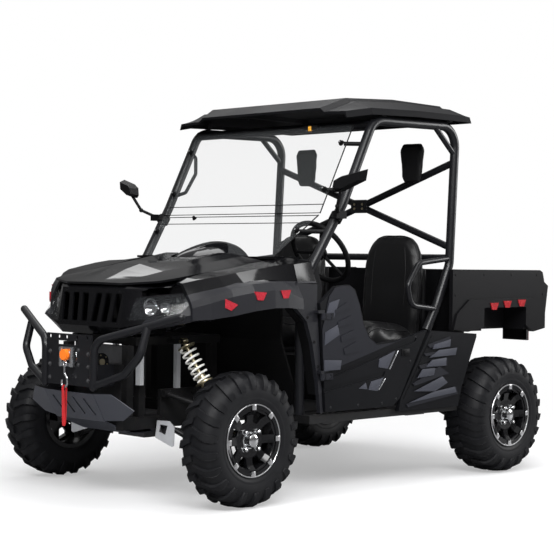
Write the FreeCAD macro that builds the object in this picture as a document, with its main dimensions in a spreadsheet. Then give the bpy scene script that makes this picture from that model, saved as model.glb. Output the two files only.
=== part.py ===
import FreeCAD, Part
import math
import os
import re

import Sketcher
from FreeCAD import Placement, Rotation, Vector

# Side by side utility vehicle: two seats under a roll cage, a cargo bed that tips,
# swinging half doors, a front bonnet and a winch behind a tube bumper.
# +X is forward, +Y is the driver's side, +Z is up. The ground is z = 0, in millimetres.

doc = FreeCAD.newDocument("UtilityVehicle")
sheet = doc.addObject("Spreadsheet::Sheet", "Sizes")

DRIVING_SIZES = (
    # name, value, meaning
    ("seat_gap", 0.3, "gap between a piece and what carries it"),
    ("running_gap", 0.05, "radial clearance of a shaft in its bore"),
    ("front_axle_x", 950, "front axle"),
    ("wheelbase", 1940, "front axle to rear axle"),
    ("wheel_y", 690, "middle plane of every tyre"),
    ("tyre_radius", 317.5, "ground to axle, out to the lugs' tips"),
    ("front_tyre_width", 205, "front tyre"),
    ("rear_tyre_width", 255, "rear tyre"),
    ("bead_radius", 158, "where the tyre sits on the rim"),
    ("lip_radius", 171, "outer edge of the rim"),
    ("lip_wide", 6, "thickness of the rim's edge"),
    ("rim_inset", 10, "rim face inside the tyre's side"),
    ("lug_height", 14, "tread lugs above the carcass"),
    ("lug_wide", 36, "tread lug along the tread"),
    ("lug_count", 15, "lugs in one row"),
    ("spindle_radius", 20, "wheel spindle"),
    ("spindle_end_y", 700, "outer end of each spindle"),
    ("hub_radius", 38, "wheel hub"),
    ("knuckle_y", 545, "front steering axis"),
    ("lower_ball_z", 225, "lower ball joint"),
    ("upper_ball_z", 430, "upper ball joint"),
    ("ball_pin_radius", 9, "ball joint pin"),
    ("ball_boss_radius", 20, "boss round a ball joint"),
    ("arm_tube_radius", 13, "suspension arm tube"),
    ("rail_y", 230, "middle of a frame rail"),
    ("rail_wide", 50, "frame rail"),
    ("rail_low_z", 340, "underside of the frame rails"),
    ("rail_high_z", 400, "top of the frame rails"),
    ("frame_front_x", 1300, "front end of the rails"),
    ("frame_tail", 290, "rails behind the rear axle"),
    ("front_top_z", 779.7, "top of the front frame"),
    ("rear_top_z", 700, "top of the rear frame"),
    ("cage_radius", 24, "roll cage tube"),
    ("cage_y", 665, "roll cage side tube"),
    ("cab_half", 600, "half width of the cab floor and dashboard"),
    ("door_inner_y", 728, "inner face of a door"),
    ("door_wall", 24, "door thickness"),
    ("bed_half", 725, "half width of the cargo bed"),
    ("bed_wall", 24, "cargo bed wall"),
    ("bed_flare_out", 10, "flare round the rear wheel arch, outside the bed's wall"),
    ("bed_front_x", -668, "front wall of the cargo bed"),
    ("bed_rear_x", -1397, "rear end of the bed floor"),
    ("bed_floor_z", 806, "top of the bed floor"),
    ("bed_under_z", 782, "underside of the bed floor"),
    ("bed_top_z", 1118, "top rail of the cargo bed"),
    ("bed_hinge_x", -1265, "tipping axis of the bed"),
    ("bed_hinge_z", 722, "tipping axis of the bed"),
    ("tailgate_wall", 26, "tailgate thickness"),
    ("gate_x", -1422, "tailgate hinge"),
    ("gate_z", 812, "tailgate hinge"),
    ("gate_pin_radius", 6, "tailgate hinge pin"),
    ("door_hinge_x", 475, "door hinge axis"),
    ("door_hinge_y", 762, "door hinge axis"),
    ("door_pin_radius", 5, "door hinge pin"),
    ("steering_wheel_radius", 178, "steering wheel"),
)

row = 0


def keep(name, value):
    """Write one driving size into the sheet under its own name."""
    global row
    row += 1
    sheet.set("A%d" % row, name)
    sheet.set("B%d" % row, "%g" % value)
    sheet.setAlias("B%d" % row, name)


for size_name, size_value, meaning in DRIVING_SIZES:
    keep(size_name, size_value)
doc.recompute()


def size(name):
    return float(sheet.get(name))


def formula(text):
    """Point each size's name in a formula at its cell."""
    return re.sub(r"[a-z][a-z0-9_]*", lambda word: "Sizes." + word.group(0), str(text))


def tie(thing, prop, text):
    thing.setExpression(prop, formula(text))


def place_by(thing, x=0, y=0, z=0):
    for axis, text in (("x", x), ("y", y), ("z", z)):
        tie(thing, "Placement.Base." + axis, text)


def outline(name, corners):
    """Keep an outline's corners in the sheet and return their cells' names."""
    cells = []
    for number, corner in enumerate(corners, 1):
        pair = []
        for side, value in zip(("across", "up"), corner):
            if isinstance(value, str):
                pair.append(value)
                continue
            cell = "%s_%s_%d" % (name, side, number)
            keep(cell, value)
            pair.append(cell)
        cells.append(pair)
    doc.recompute()
    return cells


# Builders for the sorts of piece that this vehicle is made of

def prism(label, plane, corners, thickness, start, lift=0):
    """A flat outline on an upright or level plane, padded to a thickness."""
    body = doc.addObject("PartDesign::Body", label)
    sketch = body.newObject("Sketcher::SketchObject", label + "_outline")
    origin_plane = [part for part in body.Origin.OriginFeatures if part.Role == plane][0]
    sketch.AttachmentSupport = (origin_plane, "")
    sketch.MapMode = "FlatFace"
    count = len(corners)
    for number in range(count):
        start_point = Vector(10 * number, 7 * number * number, 0)
        end_point = Vector(10 * (number + 1), 7 * (number + 1) ** 2, 0)
        if number == count - 1:
            end_point = Vector(0, 0, 0)
        sketch.addGeometry(Part.LineSegment(start_point, end_point), False)
    for number in range(count):
        sketch.addConstraint(
            Sketcher.Constraint("Coincident", number, 2, (number + 1) % count, 1))
    for number, (across, up) in enumerate(corners):
        for kind, text in (("DistanceX", across), ("DistanceY", up)):
            index = sketch.addConstraint(Sketcher.Constraint(kind, -1, 1, number, 1, 0.0))
            tie(sketch, "Constraints[%d]" % index, text)
    pad = body.newObject("PartDesign::Pad", label + "_pad")
    pad.Profile = sketch
    tie(pad, "Length", thickness)
    pad.Reversed = plane == "XZ_Plane"
    axis = {"XZ_Plane": "y", "YZ_Plane": "x", "XY_Plane": "z"}[plane]
    tie(body, "Placement.Base." + axis, start)
    if lift:
        tie(body, "Placement.Base.z", lift)
    return body


def block(label, x, y, z, length, width, height):
    """A box from its low corner and its three lengths."""
    box = doc.addObject("Part::Box", label)
    tie(box, "Length", length)
    tie(box, "Width", width)
    tie(box, "Height", height)
    place_by(box, x, y, z)
    return box


TURNS = {
    "x": Rotation(Vector(0, 1, 0), 90),
    "y": Rotation(Vector(1, 0, 0), -90),
    "z": Rotation(),
}


def rod(label, axis, radius, length, x, y, z):
    """A round bar from its low end along one axis."""
    bar = doc.addObject("Part::Cylinder", label)
    bar.Placement.Rotation = TURNS[axis]
    tie(bar, "Radius", radius)
    tie(bar, "Height", length)
    place_by(bar, x, y, z)
    return bar


def mirrored(source, label=None):
    """The same piece on the other side of the vehicle."""
    other = doc.addObject("Part::Mirroring", label or source.Label + "_other")
    other.Source = source
    other.Normal = Vector(0, 1, 0)
    return other


def together(label, parts):
    """Pieces that don't touch, in one node."""
    group = doc.addObject("Part::Compound", label)
    group.Links = parts
    return group


def fused(label, parts):
    joined = doc.addObject("Part::MultiFuse", label)
    joined.Shapes = parts
    return joined


def carved(label, base, tool):
    result = doc.addObject("Part::Cut", label)
    result.Base = base
    result.Tool = tool
    return result


def formed(label, shape):
    """A piece whose shape is worked out below from the sheet's sizes."""
    feature = doc.addObject("Part::Feature", label)
    feature.Shape = shape
    feature.Placement = Placement()
    return feature


def flip(shape):
    return shape.mirror(Vector(), Vector(0, 1, 0))


def both_sides(label, shape):
    return formed(label, Part.Compound([shape, flip(shape)]))


def bent_path(points, bend):
    """Straight runs through the points, each corner rounded by a tangent arc."""
    edges = []
    start = points[0]
    for before, corner, after in zip(points, points[1:], points[2:]):
        back = (before - corner).normalize()
        ahead = (after - corner).normalize()
        half = back.getAngle(ahead) / 2
        reach = min(bend / math.tan(half), 0.45 * min((before - corner).Length, (after - corner).Length))
        depth = reach * math.tan(half)
        first = corner + back * reach
        last = corner + ahead * reach
        middle_way = (back + ahead).normalize()
        centre = corner + middle_way * (reach / math.cos(half))
        middle = centre - middle_way * depth
        edges.append(Part.makeLine(start, first))
        edges.append(Part.Arc(first, middle, last).toShape())
        start = last
    edges.append(Part.makeLine(start, points[-1]))
    return Part.Wire(edges)


def tube(points, radius, bend=60):
    """A round tube swept along straight runs and arcs."""
    path = bent_path(points, bend)
    way = points[1] - points[0]
    ring = Part.Wire([Part.makeCircle(radius, points[0], way)])
    return path.makePipeShell([ring], True, False)


def bar(start, end, radius):
    """A straight round bar between two points."""
    return Part.makeCylinder(radius, (end - start).Length, start, end - start)


def loft(sections):
    """Straight walls through closed outlines of the same number of corners."""
    wires = [Part.makePolygon(section + [section[0]]) for section in sections]
    return Part.makeLoft(wires, True, True)


def joined(shapes):
    return shapes[0].multiFuse(shapes[1:]).removeSplitter()


def inward(corners):
    """The way into the vehicle from a flat outline on its front."""
    way = (corners[2] - corners[0]).cross(corners[4] - corners[0]).normalize()
    return way if way.x < 0 else way * -1


def flat_outline(corners):
    """Corners moved straight onto the plane of the first, third and fifth."""
    points = [Vector(*corner) for corner in corners]
    way = inward(points)
    return [point - way * (point - points[0]).dot(way) for point in points]


def box(low, high):
    return Part.makeBox(high[0] - low[0], high[1] - low[1], high[2] - low[2], Vector(*low))


# Sizes that follow from others
rear_axle_x = size("front_axle_x") - size("wheelbase")
axle_z = size("tyre_radius")
gap = size("seat_gap")
FRONT_X = size("front_axle_x")
REAR_X = rear_axle_x

REAR_AXLE = "(front_axle_x - wheelbase)"
FRAME_REAR = "(front_axle_x - wheelbase - frame_tail)"

# Chassis frame: two rails, cross members, outriggers and four upright posts
rails = []
for side in (-1, 1):
    low_y = "%d * rail_y - rail_wide / 2" % side
    rails.append(block("rail", FRAME_REAR, low_y, "rail_low_z",
                       "frame_front_x - " + FRAME_REAR, "rail_wide", "rail_high_z - rail_low_z"))
CROSS_MEMBERS_X = (FRAME_REAR, REAR_AXLE + " + 350", "-80", "430", "front_axle_x - 250", "front_axle_x + 90",
                   "front_axle_x + 238")
POSTS = (
    # x, top height
    (REAR_AXLE + " - 190", "rear_top_z"),
    (REAR_AXLE + " + 250", "rear_top_z"),
    ("(front_axle_x - 250)", "front_top_z"),
    ("(front_axle_x + 210)", "front_top_z"),
    ("(front_axle_x + 285)", "front_top_z - 40"),
)
for cross_x in CROSS_MEMBERS_X:
    rails.append(block("cross_member", cross_x, "0 - rail_y", "rail_low_z + 5", 40, "2 * rail_y", 50))
for post_x, post_top in POSTS:
    for side in (-1, 1):
        rails.append(block("post", post_x, "%d * rail_y - 20" % side, "rail_high_z - 5",
                           40, 40, "%s - rail_high_z + 5" % post_top))
for name, first, last, top in (
        ("rear_top_rail", FRAME_REAR + " + 60", POSTS[1][0] + " + 180", "rear_top_z"),
        ("front_top_rail", POSTS[2][0] + " - 20", POSTS[3][0] + " + 60", "front_top_z")):
    for side in (-1, 1):
        rails.append(block(name, first, "%d * rail_y - 20" % side, top + " - 40",
                           "%s - (%s)" % (last, first), 40, 40))
for cross_x, top in POSTS[:4]:
    rails.append(block("top_cross", cross_x, "0 - rail_y", top + " - 40", 40, "2 * rail_y", 40))
for number, outrigger_x in enumerate((-620, -80, 484), 1):
    keep("outrigger_x_%d" % number, outrigger_x)
    rails.append(block("outrigger", "outrigger_x_%d" % number, "0 - door_inner_y + 20",
                       "rail_low_z + 20", 40, "2 * (door_inner_y - 20)", "rail_high_z - rail_low_z - 20"))
for side in (-1, 1):
    rails.append(block("sill", "outrigger_x_1", "%d * (door_inner_y - 20 - seat_gap) - 20" % side,
                       "rail_low_z + 20", "outrigger_x_3 - outrigger_x_1 + 40", 40,
                       "rail_high_z - rail_low_z - 20"))
for side in (-1, 1):
    low_y = "%d * (rail_y - 29) - 11" % side
    rails.append(block("bed_ear", "bed_hinge_x - 20", low_y, "rear_top_z - 35", 120, 22.7, 77))
    pin_start = "%d * (rail_y - 11.5) - 28.5" % side
    rails.append(rod("bed_pin", "y", "ball_pin_radius - 1", 57, "bed_hinge_x", pin_start, "bed_hinge_z"))
rails.append(block("winch_cross", POSTS[4][0], "0 - rail_y", 600, "frame_front_x - " + POSTS[4][0],
                   "2 * rail_y", 50))
DAMPER_X = {"front": 59, "rear": -62}
DAMPER_HEAD = {"front": (350, "front_top_z"), "rear": (320, "rear_top_z")}
for end, axle in (("front", "front_axle_x"), ("rear", REAR_AXLE)):
    reach, top = DAMPER_HEAD[end]
    for side in (-1, 1):
        low_y = "%d * (rail_y + %g) / 2 - (%g - rail_y) / 2" % (side, reach - 15.3, reach - 15.3)
        rails.append(block("damper_bracket", "%s + %d - 15" % (axle, DAMPER_X[end]), low_y,
                           top + " - 32", 30, "%g - rail_y" % (reach - 15.3), 24))
rack_z = size("upper_ball_z") - 7
rack_x = size("front_axle_x") - 100
housing = block("rack_housing", rack_x - 25, "0 - rail_y", "rail_high_z - 5", 50, "2 * rail_y", 50)
for axle, low, high in (("front_axle_x", -122, 122), (REAR_AXLE, -2, 122)):
    for side in (-1, 1):
        tower_y = "%d * (rail_y + rail_wide / 2 - 10) - 10" % side
        rails.append(block("arm_tower", "%s + %d" % (axle, low), tower_y, "rail_high_z - 5",
                           high - low, 20, 130))
rails.append(housing)
frame_solid = fused("frame_solid", rails)
rack_bore = rod("rack_bore", "y", 14.05, 700, rack_x, -350, rack_z)
carved("chassis_frame", frame_solid, rack_bore)
doc.recompute()

# Suspension arms, knuckles and dampers
ball_low = size("lower_ball_z")
ball_high = size("upper_ball_z")
boss = size("ball_boss_radius")
pin_hole = size("ball_pin_radius") + size("running_gap")
arm_radius = size("arm_tube_radius")
inner_y = size("rail_y") + size("rail_wide") / 2
pivot_low_z = size("rail_low_z") + 30


def wishbone(ball_x, ball_y, ball_z, pivots_x, pivot_y, pivot_z):
    """Two tubes from the frame to one ball joint boss, with a sleeve at each pivot."""
    ball = Vector(ball_x, ball_y, ball_z)
    parts = [Part.makeCylinder(boss, 30, ball - Vector(0, 0, 15))]
    for pivot_x in pivots_x:
        pivot = Vector(pivot_x, pivot_y, pivot_z)
        parts.append(bar(pivot, ball, arm_radius))
        parts.append(Part.makeCylinder(arm_radius + 5, 44, pivot - Vector(22, 0, 0), Vector(1, 0, 0)))
    arm = joined(parts)
    return arm.cut(Part.makeCylinder(pin_hole, 60, ball - Vector(0, 0, 30)))


ARM_SETS = (
    # axle x, upper pivots, lower pivots
    ("front", FRONT_X, (-100, 100), (-130, 130)),
    ("rear", REAR_X, (20, 100), (-130, 130)),
)
DAMPER_FOOT = {
    # end: x from the axle, y, arm that carries it, height above that arm, spring seat above the foot
    "front": (0, 490, 0, 52, 78),
    "rear": (-62, 420, 1, 42, 118),
}
COIL_RADIUS = 42
COIL_WIRE = 5.5
COIL_TURNS = 6
COIL_STEPS = 12
WIRE_CORNERS = [math.radians(30 + 60 * corner) for corner in range(6)]


def spring(low, high):
    """A wire of six flats wound between its two seats, which its ends lie on."""
    length = (high - low).Length - 2 * COIL_WIRE
    middle = COIL_RADIUS - COIL_WIRE
    rise = length / COIL_TURNS / (2 * math.pi)
    sections = []
    for step in range(COIL_TURNS * COIL_STEPS + 1):
        angle = 2 * math.pi * step / COIL_STEPS
        outward = Vector(math.cos(angle), math.sin(angle), 0)
        along = Vector(-middle * outward.y, middle * outward.x, rise).normalize()
        across = along.cross(outward)
        centre = outward * middle + Vector(0, 0, rise * angle)
        sections.append([centre + (outward * math.cos(corner) + across * math.sin(corner)) * COIL_WIRE
                         for corner in WIRE_CORNERS])
    wire = loft(sections)
    turn = Rotation(Vector(0, 0, 1), high - low)
    wire.Placement = Placement(low + (high - low).normalize() * COIL_WIRE, turn)
    return wire


knuckle_y = size("knuckle_y")
pivot_y = inner_y + arm_radius + 5 + gap
dampers = []
coils = []
for end, axle_x, upper, lower in ARM_SETS:
    arms = [
        wishbone(axle_x, knuckle_y, ball_high, [axle_x + step for step in upper], pivot_y, 505),
        wishbone(axle_x, knuckle_y, ball_low, [axle_x + step for step in lower], pivot_y, pivot_low_z),
    ]
    damper_x = axle_x + DAMPER_X[end]
    head_y, top_name = DAMPER_HEAD[end]
    head_z = size(top_name) - 20
    foot_step, foot_y, arm_number, foot_rise, seat_rise = DAMPER_FOOT[end]
    share = (knuckle_y - foot_y) / (knuckle_y - pivot_y)
    low_end, high_end = ((ball_high, 505), (ball_low, pivot_low_z))[arm_number]
    foot = Vector(axle_x + foot_step, foot_y, low_end + (high_end - low_end) * share + foot_rise)
    head = Vector(damper_x, head_y, head_z)
    way = (head - foot).normalize()
    foot_ear = box((foot.x - 15, foot_y - 12, foot.z - foot_rise - 10),
                   (foot.x + 15, foot_y + 12, foot.z - 15 - gap))
    arms[arm_number] = arms[arm_number].fuse(foot_ear).removeSplitter()
    formed(end + "_arms", Part.Compound(arms + [flip(arm) for arm in arms]))
    eyes = [Part.makeCylinder(15, 30, point - Vector(15, 0, 0), Vector(1, 0, 0)) for point in (foot, head)]
    body_tube = bar(foot + way * 5, foot + way * (seat_rise + 52), 22)
    shaft = bar(foot + way * (seat_rise + 42), head - way * 5, 9)
    seats = [bar(foot + way * seat_rise, foot + way * (seat_rise + 6), COIL_RADIUS + 2),
             bar(head - way * 34, head - way * 28, COIL_RADIUS + 2)]
    damper = joined(eyes + [body_tube, shaft] + seats)
    dampers += [damper, flip(damper)]
    coil_low = foot + way * (seat_rise + 6 + gap)
    coil_high = head - way * 34.3
    coil = spring(coil_low, coil_high)
    coils += [coil, flip(coil)]
formed("dampers", Part.Compound(dampers))
formed("coil_springs", Part.Compound(coils))

spindle_radius = size("spindle_radius")
spindle_end = size("spindle_end_y")


def knuckle(axle_x):
    """Upright with a pin at each ball joint, a hub flange and the wheel spindle."""
    upright = Part.makeCylinder(KNUCKLE_POST_RADIUS, ball_high - ball_low - 52,
                                Vector(axle_x, knuckle_y, ball_low + 32))
    pin = Part.makeCylinder(size("ball_pin_radius"), ball_high - ball_low + 30,
                            Vector(axle_x, knuckle_y, ball_low - 15))
    flange = Part.makeCylinder(34, 28, Vector(axle_x, knuckle_y, axle_z), Vector(0, 1, 0))
    spindle = Part.makeCylinder(spindle_radius, spindle_end - knuckle_y, Vector(axle_x, knuckle_y, axle_z),
                                Vector(0, 1, 0))
    return [upright, pin, flange, spindle]


KNUCKLE_POST_RADIUS = 24
STEER_ARM_X = -100
STEER_ARM_Z = ball_high - 40
steer_arm = box((FRONT_X + STEER_ARM_X - 14, knuckle_y - 28, STEER_ARM_Z),
                (FRONT_X, knuckle_y - 2, STEER_ARM_Z + 16))
front_knuckle = joined(knuckle(FRONT_X) + [steer_arm])
formed("knuckle_left", front_knuckle)
formed("knuckle_right", flip(front_knuckle))
rear_knuckle = joined(knuckle(REAR_X))
both_sides("rear_knuckles", rear_knuckle)

# Steering rack: a bar with a rod and an eye on each side, above the rails
rack = joined([
    Part.makeCylinder(14, 240, Vector(rack_x, -120, rack_z), Vector(0, 1, 0)),
    Part.makeCylinder(8, 2 * (knuckle_y - 15), Vector(rack_x, 15 - knuckle_y, rack_z), Vector(0, 1, 0)),
    Part.makeCylinder(14, 22, Vector(rack_x, knuckle_y - 15, rack_z - 11)),
    Part.makeCylinder(14, 22, Vector(rack_x, 15 - knuckle_y, rack_z - 11)),
])
formed("steering_rack", rack)

# Wheels: a tyre with two rows of wrapped shoulder lugs, and a dished rim
bead = size("bead_radius")
lip = size("lip_radius")
lip_wide = size("lip_wide")


def around_y(points, centre_y, axle_x):
    """Turn a closed outline of radius and offset into a ring round a wheel's axis."""
    corners = [Vector(axle_x + radius, centre_y + offset, axle_z) for radius, offset in points]
    face = Part.Face(Part.makePolygon(corners + [corners[0]]))
    return face.revolve(Vector(axle_x, 0, axle_z), Vector(0, 1, 0), 360)


def tyre(width, axle_x):
    """Carcass with bulging sides, then lugs from the middle round the shoulder."""
    half = width / 2
    crown = size("tyre_radius") - size("lug_height")
    side = [(bead, half - 17), (lip + 1, half - 17), (lip + 12, half - 9), (236, half - 3),
            (crown - 22, half - 10), (crown - 5, half - 26), (crown, 0)]
    ring = side + [(radius, -offset) for radius, offset in reversed(side[:-1])]
    carcass = around_y(ring, size("wheel_y"), axle_x)
    tip = math.sqrt(size("tyre_radius") ** 2 - (size("lug_wide") / 2) ** 2)
    lug = [(crown - 8, 12), (tip, 14), (tip - 3, half - 22), (tip - 16, half - 2), (tip - 46, half),
           (tip - 48, half - 8), (crown - 20, half - 20)]
    lugs = []
    count = int(size("lug_count"))
    for number in range(count):
        for side_sign, shift in ((1, 0.0), (-1, 0.5)):
            corners = [Vector(axle_x + radius, size("wheel_y") + side_sign * offset, axle_z)
                       for radius, offset in lug]
            face = Part.Face(Part.makePolygon(corners + [corners[0]]))
            face.translate(Vector(0, 0, -size("lug_wide") / 2))
            solid = face.extrude(Vector(0, 0, size("lug_wide")))
            solid.rotate(Vector(axle_x, size("wheel_y"), axle_z), Vector(1, 0, 0), side_sign * 10)
            solid.rotate(Vector(axle_x, 0, axle_z), Vector(0, 1, 0), 360 * (number + shift) / count)
            lugs.append(solid)
    return carcass.multiFuse(lugs)


RIM_SPOKES = 8


def rim(width, axle_x):
    """Barrel with two lips, a dished face on eight spokes with tabs, and a blind hub with its cap."""
    centre = size("wheel_y")
    half = width / 2
    face_y = half - size("rim_inset")
    barrel_out = bead - gap
    hub = size("hub_radius")
    barrel = around_y([(barrel_out, -face_y + lip_wide), (lip, -face_y + lip_wide), (lip, -face_y),
                       (barrel_out - 10, -face_y), (barrel_out - 16, 0), (barrel_out - 10, face_y),
                       (lip, face_y), (lip, face_y - lip_wide), (barrel_out, face_y - lip_wide)],
                      centre, axle_x)
    disc_y = face_y - 30
    dish = around_y([(0, disc_y - 14), (barrel_out - 8, disc_y - 14), (barrel_out - 8, face_y - 5),
                     (barrel_out - 20, face_y - 5), (118, disc_y + 6), (80, disc_y), (0, disc_y)],
                    centre, axle_x)
    cap = around_y([(0, disc_y - 5), (34, disc_y - 5), (32, disc_y + 18), (27, face_y + 4), (0, face_y + 8)],
                   centre, axle_x)
    hub_start = knuckle_y + 28 + 6
    sleeve = Part.makeCylinder(hub, centre + disc_y - 5 - hub_start, Vector(axle_x, hub_start, axle_z),
                               Vector(0, 1, 0))
    bore = Part.makeCylinder(spindle_radius + size("running_gap"), spindle_end + gap - hub_start + 1,
                             Vector(axle_x, hub_start - 1, axle_z), Vector(0, 1, 0))
    windows = []
    tabs = []
    for number in range(RIM_SPOKES):
        turn = 360 / RIM_SPOKES * number
        corners = [Vector(axle_x + radius, centre, axle_z + across)
                   for radius, across in ((84, -14), (134, -34), (134, 34), (84, 14))]
        window = Part.Face(Part.makePolygon(corners + [corners[0]])).extrude(Vector(0, half, 0))
        window.rotate(Vector(axle_x, 0, axle_z), Vector(0, 1, 0), turn + 180 / RIM_SPOKES)
        windows.append(window)
        tab = box((axle_x + 140, centre + face_y - lip_wide, axle_z - 13),
                  (axle_x + lip - 3, centre + face_y + 1, axle_z + 13))
        tab.rotate(Vector(axle_x, 0, axle_z), Vector(0, 1, 0), turn)
        tabs.append(tab)
    return joined([barrel, dish.cut(windows), cap, sleeve] + tabs).cut(bore)


WHEELS = (
    ("front", FRONT_X, "front_tyre_width"),
    ("rear", REAR_X, "rear_tyre_width"),
)
for end, axle_x, width_name in WHEELS:
    rubber = tyre(size(width_name), axle_x)
    metal = rim(size(width_name), axle_x)
    for side, turn in (("left", lambda shape: shape), ("right", flip)):
        formed("tyre_%s_%s" % (end, side), turn(rubber))
        formed("rim_%s_%s" % (end, side), turn(metal))

# Roll cage: one bent tube each side, cross tubes and a braced back, and side bolsters
cage_y = size("cage_y")
cage = size("cage_radius")
CAGE_SIDE = (
    (505, 640, 400.3),
    (512, 640, 1010),
    (240, 665, 1440),
    (20, 665, 1876),
    (-655, 665, 1890),
    (-616, 665, 1146),
    (-520, 660, 930),
    (-440, 655, 790),
)
side_tube = tube([Vector(*point) for point in CAGE_SIDE], cage, 110)
gusset = bar(Vector(-470, 665, 1886), Vector(-636, 665, 1745), 15)
both_sides("cage_side_members", joined([side_tube, gusset]))
room = Part.Compound([tube([Vector(*point) for point in CAGE_SIDE], cage + gap, 110)])
room = Part.Compound([room, flip(room)])
BRACE_RADIUS = 19
BRACES = (
    # ends on the right and left side (x, z), radius
    ((20, 1858), (20, 1858), cage),
    ((-630, 1884), (-630, 1884), cage),
    ((-648, 1700), (-622, 1235), BRACE_RADIUS),
    ((-622, 1235), (-648, 1700), BRACE_RADIUS),
    ((-618, 1180), (-618, 1180), BRACE_RADIUS),
)
braces = [bar(Vector(right_x, -cage_y, right_z), Vector(left_x, cage_y, left_z), radius)
          for (right_x, right_z), (left_x, left_z), radius in BRACES]
back = joined(braces[1:4]).cut(room)
cross = [braces[0].cut(room), braces[4].cut(room)]
pieces = []
for shape in [back] + cross:
    solids = sorted(shape.Solids, key=lambda solid: solid.Volume)
    pieces.append(solids[-1])
formed("cage_cross_members", Part.Compound(pieces))
BOLSTER = (
    (-600, 1175),
    (-362, 1150),
    (-270, 1030),
    (-300, 925),
    (-500, 905),
)
bolster = tube([Vector(x, cage_y, z) for x, z in BOLSTER], 15, 60).cut(room)
bolster = sorted(bolster.Solids, key=lambda solid: solid.Volume)[-1]
both_sides("side_bolsters", bolster)

# Roof: a moulded lid with a raised middle and a skirt outside the cage
ROOF_SECTIONS = (
    # x, crown height above the edge, edge height, half width
    (190, 60, 1880, 640),
    (60, 96, 1902, 700),
    (-300, 104, 1915, 705),
    (-700, 98, 1918, 705),
    (-760, 70, 1916, 690),
)


def roof_outline(x, crown, edge, half, wall):
    """Section across the roof; the wall is taken off the top for the hollow."""
    left = [(half - wall, edge), (half - wall - 12, edge + 34 - wall), (half - 120, edge + crown - 22 - wall),
            (half - 160, edge + crown - 22 - wall), (half - 190, edge + crown - wall)]
    right = [(-y, z) for y, z in reversed(left)]
    return [Vector(x, y, z) for y, z in left + right]


outer = loft([roof_outline(x, crown, edge, half, 0) for x, crown, edge, half in ROOF_SECTIONS])
hollow = loft([roof_outline(x, crown, edge, half, 8) for x, crown, edge, half in (
    (198, 60, 1872, 640), (60, 96, 1894, 700), (-300, 104, 1907, 705), (-700, 98, 1910, 705),
    (-752, 70, 1908, 690))])
pads = []
for x, low_z, high_z in ((-600, 1913.5, 1955), (-50, 1902.1, 1942)):
    pads.append(box((x - 15, 650, low_z), (x + 15, 680, high_z)))
roof = joined([outer.cut(hollow)] + pads + [flip(pad) for pad in pads])
formed("roof", roof)

# Dome over the cowl: a hollow scoop in front, which the bonnet is cut round, and a solid pod behind
DOME_SECTIONS = (
    # x, half width, top height
    (752, 24, 1166),
    (700, 88, 1194),
    (650, 124, 1212),
    (612, 146, 1224),
    (540, 168, 1243),
    (470, 178, 1250),
    (410, 176, 1240),
)
DOME_FOOT_Z = 1160.3
DOME_WALL = 8


def dome_section(x, half, top, grow=0):
    """Half round arch over a straight foot, which drops where the arch is offset."""
    foot_z = DOME_FOOT_Z - abs(grow)
    left = Vector(x, half + grow, foot_z)
    right = Vector(x, -half - grow, foot_z)
    crown = Vector(x, 0, top + grow)
    return Part.Wire([Part.Arc(left, crown, right).toShape(), Part.makeLine(right, left)])


def dome(sections, grow=0):
    return Part.makeLoft([dome_section(x, half, top, grow) for x, half, top in sections], True, False)


scoop_room = dome(DOME_SECTIONS[1:4], -DOME_WALL)
scoop = dome(DOME_SECTIONS[:4]).cut(scoop_room)
pod = dome(DOME_SECTIONS[3:])
pod_room = dome(DOME_SECTIONS[3:], 5)
DOME_GAP = 14
bonnet_room = dome(DOME_SECTIONS[:4], DOME_GAP)
pod_notch = box((606, -154, 1130), (634, 154, 1260))
bonnet_room = [bonnet_room, bonnet_room.translated(Vector(DOME_GAP, 0, 0)), pod_notch]

# Windshield: two clear panes between the front posts, held by clamps
PANE_WALL = 5
GLASS = (
    # low x, low z, low half width, high x, high z, high half width
    (548, 1172, 500, 334, 1385, 596),
    (330, 1393, 600, 96, 1852, 606),
)
panes = []
for low_x, low_z, low_half, high_x, high_z, high_half in GLASS:
    corners = [Vector(low_x, -low_half, low_z), Vector(low_x, low_half, low_z),
               Vector(high_x, high_half, high_z), Vector(high_x, -high_half, high_z)]
    face = Part.Face(Part.makePolygon(corners + [corners[0]]))
    normal = face.normalAt(0, 0)
    if normal.x < 0:
        normal = normal * -1
    panes.append(face.extrude(normal * PANE_WALL).cut(pod_room))
formed("windshield", Part.Compound(panes))
CLAMPS = (
    # post (x, y, z), pane (x, y)
    ((329, 645, 1300), (428, 548)),
    ((204, 655, 1512), (276, 588)),
    ((82, 655, 1752), (154, 588)),
)
clamps = []
pane_room = Part.Compound([pane.copy() for pane in panes])
for (post_x, post_y, post_z), (pane_x, pane_y) in CLAMPS:
    clamp = bar(Vector(post_x, post_y, post_z), Vector(pane_x, pane_y, post_z), 11).cut(room).cut(pane_room)
    clamps.append(sorted(clamp.Solids, key=lambda solid: solid.Volume)[-1])
formed("windshield_clamps", Part.Compound(clamps + [flip(clamp) for clamp in clamps]))

# Front body: fenders with flares either side of the bonnet, nose and quarter panels
FENDER_SECTIONS = (
    # x, then (y, z) of inner edge, crease, flank foot, flare top, flare shoulder, flare foot
    (1135, ((440, 1046), (478, 1040), (518, 985), (540, 955), (552, 925), (556, 868))),
    (1080, ((444, 1066), (530, 1058), (575, 1006), (606, 984), (620, 950), (625, 874))),
    (1020, ((452, 1080), (600, 1074), (650, 1028), (690, 1014), (706, 982), (711, 893))),
    (950, ((460, 1094), (645, 1092), (698, 1048), (757, 1042), (782, 1004), (787, 918))),
    (830, ((474, 1114), (672, 1113), (715, 1062), (766, 1052), (790, 1014), (795, 930))),
    (740, ((484, 1130), (690, 1128), (722, 1060), (764, 1046), (788, 1006), (793, 930))),
    (630, ((500, 1150), (710, 1142), (735, 1045), (758, 1005), (780, 970), (785, 922))),
)
WALL = 12


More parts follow.
